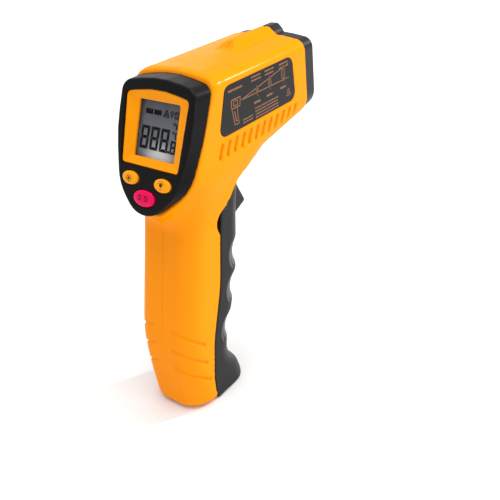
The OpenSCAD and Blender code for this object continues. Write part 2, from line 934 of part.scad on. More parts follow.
module cover_pin() {
    color(steel) bar(hinge, hinge_r, -foot_half + 1.6, foot_half - 1.6);
}

// ---------------------------------------------------------------- screws, labels, leads

module shell_screws() {
    color(steel) for (p = screw_places) {
        bar(p, head_r, -5.6, -4);
        bar(p, screw_r, -4, 7);
    }
}

module side_label() {
    side(rounded(label_outline), barrel_half - 0.35, barrel_half - 0.05);
}

module right_label() {
    color([0.17, 0.17, 0.18]) side_label();
}

module left_label() {
    color([0.17, 0.17, 0.18]) mirror([1, 0, 0]) side_label();
}

// Routes of the leads, each ending square to the board's back
sensor_route = [[4, 42.2, 129], [4, 37, 127.5], [6, 28, 125], [9, 18, 123.5],
                [11, 9.2, 124.8], [11, 7.2, 125.66]];
laser_route = [[1, 56.9, 144.6], [1, 51, 144.3], [-4, 42, 140.5], [-8, 32, 136.5],
               [-10, 22, 135.2], [-11, 13.6, 136], [-11, 11.75, 136.75]];
battery_route = [[-6, -2.9, 71.2], [-7, -4.4, 75.5], [-7, -4.2, 80], [-7.6, -2.8, 86],
                 [-8.8, -0.6, 93], [-10, 1.8, 100], [-10.5, 3.8, 105.3], [-10.5, 1.9, 107.3],
                 [-10.5, -0.05, 108.1]];

module sensor_leads() {
    color([0.8, 0.8, 0.82]) lead(curve(sensor_route, 4), 0.9);
}

module laser_leads() {
    color([0.7, 0.1, 0.1]) lead(curve(laser_route, 4), 0.7);
}

module battery_leads() {
    color([0.7, 0.1, 0.1]) lead(curve(battery_route, 4), 0.8);
}

left_shell();
right_shell();
display_bezel();
nose_ring();
lens_hood();
lens_ring();
ir_lens();
sensor_tube();
thermopile();
sensor_board();
optics_bracket();
laser_module();
laser_lens();
lcd_frame();
lcd_window();
lcd_panel();
backlight();
contact_strip();
main_board();
board_parts();
board_screws();
button_switches();
buzzer();
laser_button();
backlight_button();
unit_button();
laser_key_plunger();
backlight_key_plunger();
unit_key_plunger();
trigger();
trigger_pin();
trigger_spring();
trigger_switch();
switch_plunger();
switch_board();
battery_tray();
battery_left();
battery_right();
battery_springs();
battery_contacts();
battery_cover();
cover_pin();
shell_screws();
left_label();
right_label();
sensor_leads();
battery_leads();
laser_leads();
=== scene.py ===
"""Looks of the hand-held infrared thermometer.

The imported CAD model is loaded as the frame. The visible mouldings are shaped again as smooth
solids from signed distances and meshed by surface nets; the parts inside keep their CAD meshes.
Shapes are worked out in millimetres and turned into metres when their meshes are made.
"""

import json
import math

import bpy
import numpy as np
from mathutils import Matrix, Vector


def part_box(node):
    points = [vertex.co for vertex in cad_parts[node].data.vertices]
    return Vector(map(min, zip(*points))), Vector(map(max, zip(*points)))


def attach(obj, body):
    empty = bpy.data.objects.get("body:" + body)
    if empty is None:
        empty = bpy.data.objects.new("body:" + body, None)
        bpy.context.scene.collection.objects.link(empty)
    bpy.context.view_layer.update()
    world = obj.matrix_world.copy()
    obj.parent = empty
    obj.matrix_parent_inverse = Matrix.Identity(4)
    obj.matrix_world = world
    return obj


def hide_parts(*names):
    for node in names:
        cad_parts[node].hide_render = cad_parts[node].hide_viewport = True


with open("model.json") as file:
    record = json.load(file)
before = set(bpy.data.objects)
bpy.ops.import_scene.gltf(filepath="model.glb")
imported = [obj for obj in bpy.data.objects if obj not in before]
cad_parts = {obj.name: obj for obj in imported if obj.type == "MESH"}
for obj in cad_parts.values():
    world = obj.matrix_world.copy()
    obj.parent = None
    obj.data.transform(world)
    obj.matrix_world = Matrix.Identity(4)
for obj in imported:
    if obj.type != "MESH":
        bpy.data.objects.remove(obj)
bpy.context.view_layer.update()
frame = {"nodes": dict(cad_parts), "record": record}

MM = 0.001
FAR = 90.0


def edge(node, corner, axis):
    """One side of a CAD node's box, in millimetres."""
    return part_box(node)[corner][axis] / MM


# ---------- sizes, in millimetres
# _HALF is half a width, _R a radius, _Y a place forward and _Z a height.

NOSE_JOINT = edge("nose_ring", 0, 1)
NOSE_FRONT = edge("nose_ring", 1, 1)
RIDGE_TOP = edge("nose_ring", 1, 2)
BARREL_HALF = edge("right_label", 1, 0) + 0.05
RIM_HALF = edge("right_shell", 1, 0)
LENS_Z = (edge("ir_lens", 0, 2) + edge("ir_lens", 1, 2)) / 2
LASER_Z = (edge("laser_lens", 0, 2) + edge("laser_lens", 1, 2)) / 2
RIM_WIDE = RIM_HALF + 0.4
BARREL_TOP = 150.8
BARREL_ROUND = 9
NECK_TOP = 112
GRIP_HALF = 16.3
FOOT_HALF = 16.0
FOOT_INNER = 14.0
WALL = 2.0
GAP = 0.3

JOINT_Y, JOINT_Z = 12.3, 146.3
JOINT_LEAN = math.radians(27.1)
FACE_Y, FACE_Z = -2.7, 130.8
FACE_TILT = math.radians(22.3)
UNDER_Y, UNDER_Z = 34.0, 107.2
UNDER_SLOPE = math.radians(9.7)
GRIP_BACK, BEND_Z = -18.3, 38.0
GRIP_LEAN = math.tan(math.radians(13.8))
HINGE_Y, HINGE_Z = 11.8, 5.0
PIVOT_Y, PIVOT_Z = 20.0, 106.0
HINGE_BORE = 1.55
PIVOT_BORE = 1.3
LUG_END = 7.3
TOE_R = 16.4
TRIGGER_HALF = 3.0
SLOT_HALF = TRIGGER_HALF + 0.6

# Outlines as corners with their radii. The side ones are (forward, up, radius), ROOF, RIM_LINE
# and RIDGE are (right, up, radius), and SHIELD, BACK and FRAME_LINE lie in the display face.
BODY_SIDE = [
    (-18.3, 0, 3.5), (19.2, 0, 2.5), (17.6, 9, 5), (10.6, 21, 9), (18.3, 43, 12), (24, 59, 20),
    (26.9, 76, 30), (28.8, 90, 30), (31, 99, 12), (34, UNDER_Z, 0),
    (FAR, UNDER_Z + (FAR - 34) * math.tan(UNDER_SLOPE), 0), (FAR, RIDGE_TOP + 4, 0),
    (17.5, RIDGE_TOP + 4, 0), (-12.3, 98, 2), (-5.2, 91.5, 8), (-18.3, 38, 45),
]
COVER_SIDE = [
    (-4.9, -6, 0), (60, -6, 0), (60, 107.9, 0), (33.6, 107.6, 0), (22, 102, 14), (13, 92.5, 12),
    (9.9, 76, 25), (6.9, 58, 60), (-1.6, 33, 40), (-4.9, 14, 30),
]
ROOF = [
    (-BARREL_HALF, 80, 0), (BARREL_HALF, 80, 0), (BARREL_HALF, BARREL_TOP - 2.6, 5),
    (0, BARREL_TOP, 80), (-BARREL_HALF, BARREL_TOP - 2.6, 5),
]
RIM_LINE = [
    (-20, 109.6, 17), (0, 92.9, 13.8), (20, 109.6, 17), (RIM_WIDE, 128, 60),
    (RIM_HALF - 0.3, 147.8, 6), (0, 150.9, 90), (0.3 - RIM_HALF, 147.8, 6),
    (-RIM_WIDE, 128, 60),
]
RIDGE = [
    (-5.2, BARREL_TOP - 2, 0), (5.2, BARREL_TOP - 2, 0), (4.2, BARREL_TOP, 0),
    (2, RIDGE_TOP, 1), (-2, RIDGE_TOP, 1), (-4.2, BARREL_TOP, 0),
]
SHIELD_HALF = [(0, 20.6, 60), (-19.2, 17.3, 5), (-19.8, -2, 60), (-15, -24, 20)]
SHIELD = SHIELD_HALF + [(0, -39.4, 12.4)] + [(-u, v, r) for u, v, r in SHIELD_HALF[:0:-1]]
BACK_HALF = [(0, 20.6, 60), (-20.2, 16.9, 5), (-21.1, -3, 60), (-19.2, -22.5, 16)]
BACK = BACK_HALF + [(0, -39.2, 13)] + [(-u, v, r) for u, v, r in BACK_HALF[:0:-1]]
FRAME_LINE = [(-15.1, -14.7, 1.5), (15.1, -14.7, 1.5), (16.4, 13.4, 2), (0, 16.8, 60),
              (-16.4, 13.4, 2)]
LABEL = [(12.2, 125, 3), (66, 125, 4), (65, 144.4, 4), (18.6, 144.4, 4)]
TRIGGER_SIDE = [
    (9.4, 104.2, 0.8), (13.2, 103.4, 1.5), (12.4, 100.4, 1), (12.4, 94.5, 2), (16.5, 90, 5),
    (21, 79, 6), (27, 73.6, 3), (36, 75.4, 12), (45.7, 79.4, 1.5), (42.4, 86.2, 14),
    (39.6, 92.4, 6), (34.4, 99.6, 4), (25, 102.4, 4), (24.2, 108.6, 3), (17, 110, 3),
    (14.5, 107.6, 2), (9.4, 107.6, 0.8),
]
TRIGGER_WINDOW = [(16.6, 93.5, 1.5), (21.2, 82.5, 1.5), (24.4, 81, 1.5), (26.2, 92, 1.5),
                  (25.6, 98, 1.5), (16.6, 99.5, 1.5)]
# (height, value) lines: the cover's front and the thickness of its wall
FRONT_LINE = np.array([
    (0, 19.2), (3, 19), (9, 17.2), (13, 14.2), (17, 12), (22, 11.2), (28, 12.4), (36, 15.6),
    (43, 18.3), (51, 21.2), (59, 23.8), (67, 25.4), (76, 26.8), (90, 28.8), (99, 31), (107, 33.9)])
WALL_LINE = np.array([(0, 2.4), (9, 2.4), (22, 2.8), (30, 4.2), (76, 4.2), (92, 3.6), (102, 3),
                      (107, 0.4)])
COVER_ROUND = 10
# finger hollows as (height, forward), grooves by the heights of their ends, screws (forward, up)
FINGERS = [(67, 25.4), (50.5, 21.0), (32, 14.2)]
FINGER_R, FINGER_AHEAD = 10, 7.5
GROOVES = [(44.5, 35), (34.8, 25), (24.8, 14.7)]
THUMB_DENT = (GRIP_HALF + 3.6, 16.4, 86)
VENTS, VENT_Y, VENT_Z, VENT_PITCH = 12, 12.3, 119.8, 4.75
VENT_LEAN = math.radians(30)
SCREWS = [(69, 118.6), (36, 114.2), (27, 142), (0.5, 77), (-11, 12)]
# half sizes of the window; keys as (right, up the face, half width, half height)
WINDOW = (10.65, 11.25)
LEFT_KEY = (-8.7, -20.1, 4.25, 2.7)
RIGHT_KEY = (8.7, -20.1, 4.25, 2.7)
UNIT_KEY = (0, -26.9, 5.6, 3.3)
# heights over the display face
KEY_PROUD, KEY_EDGE = 1.2, 0.35
PANE_TOP, PANE_BOTTOM = -3.45, -4.0
PANEL_TOP, PANEL_BOTTOM = -4.2, -6.4

COARSE, MEDIUM, FINE = 0.5, 0.33, 0.3  # grid cells
EMPTY = np.float32(99)  # a distance field with nothing in it


# ---------- distances

def unit(v):
    return v / np.linalg.norm(v)


def rounded(corners, inset=0.0):
    """Points of an outline whose corners are (u, v, radius), moved inwards by inset."""
    flat = [np.array(c[:2], float) for c in corners]
    count = len(flat)
    if inset:
        moved = []
        for i, (u, v, r) in enumerate(corners):
            before = unit(flat[i] - flat[i - 1])
            after = unit(flat[(i + 1) % count] - flat[i])
            a, b = np.array([-before[1], before[0]]), np.array([-after[1], after[0]])
            turn = before[0] * after[1] - before[1] * after[0]
            place = flat[i] + inset * (a + b) / (1 + a @ b)
            radius = 0 if r == 0 else max(0.2, r - (inset if turn > 0 else -inset))
            moved.append((place[0], place[1], radius))
        return rounded(moved)
    points = []
    for i, (u, v, r) in enumerate(corners):
        here, before, after = flat[i], flat[i - 1], flat[(i + 1) % count]
        if r == 0:
            points.append(here)
            continue
        a, b = unit(before - here), unit(after - here)
        half = math.acos(max(-1.0, min(1.0, a @ b))) / 2
        centre = here + unit(a + b) * r / math.sin(half)
        start = here + a * r / math.tan(half) - centre
        way = (here - before)[0] * (after - here)[1] - (here - before)[1] * (after - here)[0]
        turn = math.copysign(math.pi - 2 * half, way)
        steps = max(2, math.ceil(abs(turn) / math.radians(8)))
        for k in range(steps + 1):
            t = turn * k / steps
            points.append(centre + np.array([start[0] * math.cos(t) - start[1] * math.sin(t),
                                             start[0] * math.sin(t) + start[1] * math.cos(t)]))
    return np.array(points)


def outline(points, u, v):
    """Signed distance from a closed outline, negative inside."""
    nearest, inside = np.float32(1e12), False
    for a, b in zip(points, np.roll(points, -1, 0)):
        run = b - a
        t = np.clip(((u - a[0]) * run[0] + (v - a[1]) * run[1]) / (run @ run), 0, 1)
        away = (u - a[0] - t * run[0]) ** 2 + (v - a[1] - t * run[1]) ** 2
        nearest = np.minimum(nearest, away)
        if a[1] != b[1]:
            meets = (b[0] - a[0]) * (v - a[1]) / (b[1] - a[1]) + a[0]
            inside = inside ^ (((a[1] > v) != (b[1] > v)) & (u < meets))
    return np.where(inside, -1, 1) * np.sqrt(nearest)


def outline_on(points, u, v):
    """An outline's distance read from a table, for places where v changes from row to row."""
    step = 0.25
    lows = np.array([points[:, 0].min() - 5, points[:, 1].min() - 8])
    highs = np.array([points[:, 0].max() + 5, points[:, 1].max() + 8])
    us, vs = (np.arange(lo, hi, step) for lo, hi in zip(lows, highs))
    table = outline(points, us[:, None], vs[None, :])
    shape = np.broadcast_shapes(u.shape, v.shape)
    fu = np.clip((u - lows[0]) / step, 0, len(us) - 1.001)
    fv = np.clip((v - lows[1]) / step, 0, len(vs) - 1.001)
    iu, iv = fu.astype(int), fv.astype(int)
    tu, tv = fu - iu, fv - iv
    iu, iv = np.broadcast_to(iu, shape), np.broadcast_to(iv, shape)
    return ((table[iu, iv] * (1 - tu) + table[iu + 1, iv] * tu) * (1 - tv)
            + (table[iu, iv + 1] * (1 - tu) + table[iu + 1, iv + 1] * tu) * tv)


def both(a, b, r=0.0):
    """What two solids share, with the edge between them rounded by r."""
    if np.ndim(r) == 0 and r == 0:
        return np.maximum(a, b)
    return (np.minimum(np.maximum(a, b), -r)
            + np.hypot(np.maximum(a + r, 0), np.maximum(b + r, 0)))


def either(a, b, r=0.0):
    """Two solids joined, with a fillet of radius r between them."""
    return -both(-a, -b, r)


def less(a, b, r=0.0):
    """One solid with another cut out of it."""
    return both(a, -b, r)


def between(value, low, high):
    return np.maximum(low - value, value - high)


def block(x, y, z, low, high):
    return np.maximum(np.maximum(between(x, low[0], high[0]), between(y, low[1], high[1])),
                      between(z, low[2], high[2]))


def bar(x, y, z, at, r, x0, x1):
    """A round bar along x at (forward, up)."""
    return np.maximum(np.hypot(y - at[0], z - at[1]) - r, between(x, x0, x1))


def away_from(at, x, y, z):
    return np.sqrt((x - at[0]) ** 2 + (y - at[1]) ** 2 + (z - at[2]) ** 2)


def from_hinge(y, z):
    return np.hypot(y - HINGE_Y, z - HINGE_Z)


def from_pivot(y, z):
    return np.hypot(y - PIVOT_Y, z - PIVOT_Z)


def heel(y, z, r):
    """Behind and below the cover's hinge, outside the circle that its toe swings on."""
    return np.maximum(np.maximum(y - HINGE_Y, z - HINGE_Z), r - from_hinge(y, z))


def follow(line, z):
    """A value read off a line of (height, value) points, smoothed between them."""
    fine = np.linspace(line[0, 0], line[-1, 0], 400)
    values = np.interp(fine, line[:, 0], line[:, 1])
    window = np.ones(15) / 15
    padded = np.pad(values, 7, mode="edge")
    return np.interp(z, fine, np.convolve(padded, window, "valid"))


# ---------- meshing

STEPS = [(i, j, k) for i in (0, 1) for j in (0, 1) for k in (0, 1)]


def grid(low, high, cell):
    """The three axes of a grid over a box, shaped to be combined."""
    axes = [np.arange(lo, hi + cell, cell, dtype=np.float32) for lo, hi in zip(low, high)]
    return axes[0][:, None, None], axes[1][None, :, None], axes[2][None, None, :]


def skin(values, low, cell):
    """Vertices and quads of the surface where values is zero: one vertex a cell, at the mean of
    the places where the surface meets the cell's edges."""
    shape = values.shape
    inside = values < 0
    count = np.zeros([n - 1 for n in shape], np.uint8)
    for i, j, k in STEPS:
        count += inside[i:shape[0] - 1 + i, j:shape[1] - 1 + j, k:shape[2] - 1 + k]
    active = (count > 0) & (count < 8)
    cells = np.argwhere(active)
    index = np.full(active.shape, -1, np.int64)
    index[active] = np.arange(len(cells))
    place, meets = np.zeros((len(cells), 3)), np.zeros(len(cells))
    for start in STEPS:
        for axis in range(3):
            if start[axis]:
                continue
            end = np.array(start)
            end[axis] = 1
            fa = values[tuple((cells + start).T)]
            fb = values[tuple((cells + end).T)]
            cut = (fa < 0) != (fb < 0)
            point = np.repeat(np.array([start], float), cut.sum(), 0)
            point[:, axis] = fa[cut] / (fa[cut] - fb[cut])
            place[cut] += point
            meets[cut] += 1
    vertices = np.array(low) + (cells + place / meets[:, None]) * cell
    quads = []
    for axis in range(3):
        b, c = (axis + 1) % 3, (axis + 2) % 3
        lower = np.take(inside, range(shape[axis] - 1), axis)
        upper = np.take(inside, range(1, shape[axis]), axis)
        found = np.argwhere(lower != upper)
        keep = ((found[:, b] > 0) & (found[:, b] < shape[b] - 1)
                & (found[:, c] > 0) & (found[:, c] < shape[c] - 1))
        found = found[keep]
        corners = []
        for db, dc in ((1, 1), (0, 1), (0, 0), (1, 0)):
            place = found.copy()
            place[:, b] -= db
            place[:, c] -= dc
            corners.append(index[tuple(place.T)])
        quad = np.stack(corners, 1)
        outward = lower[tuple(found.T)]
        quads.append(np.where(outward[:, None], quad, quad[:, ::-1]))
    return vertices, np.concatenate(quads)


def added(name, data):
    """A new object in the scene."""
    made = bpy.data.objects.new(name, data)
    bpy.context.scene.collection.objects.link(made)
    return made


def put(name, vertices, faces, finish, body, slot, matrix=None, sharp=40, smooth=True):
    """A finished piece from a mesh given in millimetres."""
    mesh = bpy.data.meshes.new(name)
    mesh.from_pydata((np.asarray(vertices, float) * MM).tolist(), [],
                     [list(map(int, f)) for f in faces])
    mesh.validate()
    if smooth:
        mesh.shade_smooth()
        mesh.set_sharp_from_angle(angle=math.radians(sharp))
    mesh.materials.append(looks[finish])
    piece = added(name, mesh)
    if matrix is not None:
        piece.matrix_world = matrix
    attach(piece, body)
    return piece


def solid(name, field, low, high, cell, finish, body, slot, matrix=None, sharp=40):
    """A piece whose surface is where the field is zero."""
    x, y, z = grid(low, high, cell)
    values = np.broadcast_to(field(x, y, z), (x.size, y.size, z.size))
    vertices, quads = skin(values, low, cell)
    return put(name, vertices, quads, finish, body, slot, matrix, sharp)


def oval(at, half_u, half_v, steps):
    return [(at[0] + half_u * math.cos(2 * math.pi * k / steps),
             at[1] + half_v * math.sin(2 * math.pi * k / steps)) for k in range(steps)]


def stacked(rings):
    """Vertices and faces of a closed solid from rings of points, each joined to the next."""
    n = len(rings[0])
    vertices = [point for ring in rings for point in ring]
    faces = [tuple(range(n))[::-1], tuple(range(len(vertices) - n, len(vertices)))]
    for start in range(0, len(vertices) - n, n):
        faces += [(start + k, start + (k + 1) % n, start + n + (k + 1) % n, start + n + k)
                  for k in range(n)]
    return vertices, faces


# ---------- materials

def node(tree, kind, **settings):
    made = tree.nodes.new(kind)
    for key, value in settings.items():
        if key in made.inputs:
            made.inputs[key].default_value = value
        else:
            setattr(made, key, value)
    return made


def mixed(tree, share, first, second):
    """A colour between two others. Each is a colour or a socket. A mix node has one set of
    sockets for each kind of data; 0 is the share, and 6 and 7 are the colours."""
    mix = node(tree, "ShaderNodeMix", data_type="RGBA")
    for socket, value in ((0, share), (6, first), (7, second)):
        if isinstance(value, bpy.types.NodeSocket):
            tree.links.new(value, mix.inputs[socket])
        else:
            mix.inputs[socket].default_value = value
    return mix.outputs[2]


def ramp(tree, source, low, high, out_low=0.0, out_high=1.0, smooth=False):
    """A value's range mapped on another one."""
    made = node(tree, "ShaderNodeMapRange")
    if smooth:
        made.interpolation_type = "SMOOTHSTEP"
    for key, value in (("From Min", low), ("From Max", high), ("To Min", out_low),
                       ("To Max", out_high)):
        made.inputs[key].default_value = value
    tree.links.new(source, made.inputs["Value"])
    return made.outputs["Result"]


def shaded(colour, k):
    return tuple(max(0.0, min(1.0, c * k)) for c in colour) + (1.0,)


def moulded(name, colour, rough, grain, depth, spread, drift, sockets):
    """A moulded or turned surface. Grain (in mm) and depth shape its fine texture; spread and
    drift are how far its roughness and its tone wander."""
    material = bpy.data.materials.new(name)
    material.use_nodes = True
    tree = material.node_tree
    shader = tree.nodes["Principled BSDF"]
    for key, value in sockets.items():
        shader.inputs[key].default_value = value
    place = node(tree, "ShaderNodeTexCoord").outputs["Object"]
    slow = node(tree, "ShaderNodeTexNoise", Scale=70.0, Detail=3.0)
    fine = node(tree, "ShaderNodeTexNoise", Scale=1.0 / (grain * MM), Detail=2.0)
    for texture in (slow, fine):
        tree.links.new(place, texture.inputs["Vector"])
    tone = mixed(tree, slow.outputs["Fac"], shaded(colour, 1 - drift), shaded(colour, 1 + drift))
    tree.links.new(tone, shader.inputs["Base Color"])
    gloss = node(tree, "ShaderNodeMath", operation="ADD")
    tree.links.new(ramp(tree, slow.outputs["Fac"], 0.3, 0.7, rough - spread, rough),
                   gloss.inputs[0])
    tree.links.new(ramp(tree, fine.outputs["Fac"], 0.3, 0.7, 0, spread), gloss.inputs[1])
    tree.links.new(gloss.outputs[0], shader.inputs["Roughness"])
    bump = node(tree, "ShaderNodeBump", Strength=0.6, Distance=depth * MM)
    tree.links.new(fine.outputs["Fac"], bump.inputs["Height"])
    tree.links.new(bump.outputs["Normal"], shader.inputs["Normal"])
    return material


SPECULAR, COAT, COAT_ROUGH = "Specular IOR Level", "Coat Weight", "Coat Roughness"
# name: colour, roughness, grain, depth, spread, drift and other shader sockets
FINISHES = {
    "yellow_abs": ((0.97, 0.29, 0.0), 0.3, 0.35, 0.006, 0.04, 0.03, {
        SPECULAR: 0.0, COAT: 0.2, COAT_ROUGH: 0.15}),
    "yellow_frame": ((0.97, 0.33, 0.0), 0.42, 0.3, 0.012, 0.04, 0.03, {SPECULAR: 0.1}),
    "bezel_abs": ((0.004, 0.0035, 0.0035), 0.38, 0.22, 0.02, 0.06, 0.15, {SPECULAR: 0.12}),
    "nose_abs": ((0.012, 0.012, 0.014), 0.36, 0.25, 0.02, 0.06, 0.12, {SPECULAR: 0.2}),
    "trigger_abs": ((0.018, 0.018, 0.02), 0.4, 0.25, 0.02, 0.06, 0.12, {SPECULAR: 0.2}),
    "inner_plastic": ((0.03, 0.03, 0.033), 0.55, 0.4, 0.03, 0.08, 0.15, {}),
    "key_orange": ((0.97, 0.35, 0.002), 0.3, 0.3, 0.008, 0.04, 0.03, {
        SPECULAR: 0.1, COAT: 0.15, COAT_ROUGH: 0.15}),
    "key_crimson": ((0.8, 0.0, 0.09), 0.32, 0.3, 0.008, 0.04, 0.04, {
        SPECULAR: 0.1, COAT: 0.12, COAT_ROUGH: 0.15}),
    "ink_black": ((0.004, 0.004, 0.005), 0.5, 0.12, 0.004, 0.05, 0.2, {SPECULAR: 0.1}),
    "ink_copper": ((0.27, 0.12, 0.05), 0.5, 0.12, 0.004, 0.08, 0.25, {SPECULAR: 0.25}),
    "label_film": ((0.013, 0.013, 0.014), 0.45, 0.18, 0.012, 0.06, 0.12, {SPECULAR: 0.15}),
    "plated_steel": ((0.55, 0.56, 0.58), 0.28, 0.5, 0.006, 0.08, 0.08, {"Metallic": 1.0}),
    "turned_aluminium": ((0.62, 0.63, 0.65), 0.33, 0.3, 0.008, 0.08, 0.06, {"Metallic": 1.0}),
    "turned_brass": ((0.62, 0.42, 0.14), 0.3, 0.3, 0.008, 0.08, 0.1, {"Metallic": 1.0}),
    "solder_mask": ((0.012, 0.10, 0.035), 0.4, 0.6, 0.02, 0.08, 0.25, {}),
    "plunger_red": ((0.45, 0.03, 0.03), 0.4, 0.3, 0.01, 0.05, 0.06, {}),
    "contact_rubber": ((0.55, 0.55, 0.5), 0.6, 0.3, 0.02, 0.08, 0.08, {}),
    "light_guide": ((0.75, 0.78, 0.8), 0.25, 0.6, 0.01, 0.05, 0.03, {}),
    "lead_sleeve": ((0.45, 0.02, 0.02), 0.42, 0.4, 0.01, 0.06, 0.1, {}),
    "infrared_lens": ((0.03, 0.035, 0.045), 0.08, 1.0, 0.002, 0.03, 0.2, {
        COAT: 1.0, COAT_ROUGH: 0.04}),
    "laser_lens": ((0.75, 0.82, 0.85), 0.06, 1.0, 0.002, 0.03, 0.04, {
        COAT: 1.0, COAT_ROUGH: 0.03}),
    "display_window": ((0.02, 0.022, 0.026), 0.1, 2.0, 0.002, 0.03, 0.05, {
        "Alpha": 0.1, SPECULAR: 0.15}),
    "grip_cover_abs": ((0.012, 0.012, 0.013), 0.42, 0.28, 0.03, 0.08, 0.12, {SPECULAR: 0.18}),
    "display_panel": ((0.12, 0.125, 0.15), 0.35, 0.25, 0.004, 0.05, 0.05, {}),
    "cell_jacket": ((0.05, 0.12, 0.35), 0.3, 0.5, 0.004, 0.05, 0.06, {COAT: 0.4}),
    "pale_floor": ((0.84, 0.84, 0.84), 0.8, 3.0, 0.01, 0.05, 0.01, {}),
}
looks = {name: moulded(name, *finish) for name, finish in FINISHES.items()}


def opened(name):
    """A finish's node tree, its tone, the place on the piece, and that place's axes."""
    tree = looks[name].node_tree
    tone = tree.nodes["Principled BSDF"].inputs["Base Color"].links[0].from_socket
    place = node(tree, "ShaderNodeTexCoord").outputs["Object"]
    split = node(tree, "ShaderNodeSeparateXYZ")
    tree.links.new(place, split.inputs[0])
    return tree, tone, place, split.outputs


def painted(tree, colour):
    tree.links.new(colour, tree.nodes["Principled BSDF"].inputs["Base Color"])


def paint_finger_highlights():
    """Paints a highlight into the cover: a paler grey in the hollows where the fingers rest,
    standing for light reflected off their concave faces.
    """
    tree, tone, _, axes = opened("grip_cover_abs")

    def reckon(operation, *terms):
        made = node(tree, "ShaderNodeMath", operation=operation)
        for socket, term in zip(made.inputs, terms):
            if isinstance(term, bpy.types.NodeSocket):
                tree.links.new(term, socket)
            else:
                socket.default_value = term
        return made.outputs[0]

    bend = COVER_ROUND * MM
    beside = reckon("SUBTRACT", reckon("ABSOLUTE", axes["X"]), GRIP_HALF * MM - bend)
    beside = reckon("MINIMUM", reckon("MAXIMUM", beside, 0), 0.99 * bend)
    left = reckon("SQRT", reckon("SUBTRACT", bend ** 2, reckon("MULTIPLY", beside, beside)))
    forward = reckon("ADD", axes["Y"], reckon("SUBTRACT", bend, left))
    highlight_mask = None
    for z, y in FINGERS:
        line = node(tree, "ShaderNodeCombineXYZ")
        tree.links.new(forward, line.inputs["Y"])
        tree.links.new(axes["Z"], line.inputs["Z"])
        away = node(tree, "ShaderNodeVectorMath", operation="DISTANCE")
        away.inputs[1].default_value = (0, (y + FINGER_AHEAD) * MM, z * MM)
        tree.links.new(line.outputs[0], away.inputs[0])
        mask = ramp(tree, away.outputs["Value"], (FINGER_R + 0.25) * MM, (FINGER_R + 0.05) * MM,
                    smooth=True)
        highlight_mask = mask if highlight_mask is None else reckon("MAXIMUM", highlight_mask, mask)
    # painted highlight: the paler grey stands for light reflected in the finger hollows
    painted(tree, mixed(tree, highlight_mask, tone, (0.09, 0.09, 0.094, 1)))


def paint_panel():
    """Paints light into the display's colour: darker at the top, and a painted glow as if lit from
    the middle of its lower edge.
    """
    tree, tone, place, axes = opened("display_panel")
    painted_falloff = ramp(tree, axes["Y"], -12 * MM, 12 * MM, 1.0, 0.0, smooth=True)
    lit = mixed(tree, painted_falloff, tone, (0.24, 0.26, 0.3, 1))
    away = node(tree, "ShaderNodeVectorMath", operation="DISTANCE")
    away.inputs[1].default_value = (1 * MM, -13.5 * MM, PANEL_TOP * MM)
    tree.links.new(place, away.inputs[0])
    painted_glow = ramp(tree, away.outputs["Value"], 11 * MM, 3 * MM, 0.0, 1.0, smooth=True)
    # painted light: a pale glow laid into the colour near the middle of the lower edge, with
    # darker colour towards the top
    painted(tree, mixed(tree, painted_glow, lit, (0.9, 0.97, 1, 1)))


def paint_cells():
    """Gives the cells' jackets a pale band over the dark one."""
    tree, tone, _, axes = opened("cell_jacket")
    band = ramp(tree, axes["Z"], 52 * MM, 52.4 * MM)
    painted(tree, mixed(tree, band, tone, (0.6, 0.6, 0.62, 1)))


paint_finger_highlights()
paint_panel()
paint_cells()

# finishes of the CAD pieces that stay as they are, by material slot
CAD_FINISH = {
    "inner_black": "inner_plastic", "lens_dark": "infrared_lens", "laser_glass": "laser_lens",
    "light_guide": "light_guide", "contact_rubber": "contact_rubber",
    "circuit_board": "solder_mask", "steel": "plated_steel", "sensor_metal": "turned_aluminium",
    "brass": "turned_brass", "plunger_red": "plunger_red", "cell_jacket": "cell_jacket",
    "lead_sleeve": "lead_sleeve",
}
for part in frame["record"]["subparts"]:
    if part["material_slot"] in CAD_FINISH:
        materials = frame["nodes"][part["node"]].data.materials
        materials.clear()
        materials.append(looks[CAD_FINISH[part["material_slot"]]])


# ---------- body halves

def joint_ahead(y, z):
    """Distance in front of the plane where the body meets the bezel."""
    return (y - JOINT_Y) * math.cos(JOINT_LEAN) - (z - JOINT_Z) * math.sin(JOINT_LEAN)


def grip_width(z):
    """Half the grip's width at a height."""
    low = np.clip((42 - z) / 42, 0, 1)
    return GRIP_HALF - (GRIP_HALF - FOOT_HALF) * low ** 2


def grip_rear(z):
    """How far back the grip reaches at a height, bending smoothly."""
    reach = 8.0
    bend = np.clip(z - BEND_Z + reach, 0, 2 * reach)
    return GRIP_BACK + GRIP_LEAN * (bend ** 2 / (4 * reach) + np.maximum(z - BEND_Z - reach, 0))


def corner_radius(z):
    """Radius of the grip's rear corners, larger at the foot."""
    return 9.5 + 3.5 * np.clip((30 - z) / 30, 0, 1) ** 2


def taper(y):
    """Narrows the grip where it runs out under the barrel."""
    return GRIP_HALF * np.clip((y - 28) / 27, 0, 1) ** 2


def below_barrel(y, z):
    """Height over the barrel's underside, square to it."""
    return (z - UNDER_Z) * math.cos(UNDER_SLOPE) - (y - UNDER_Y) * math.sin(UNDER_SLOPE)


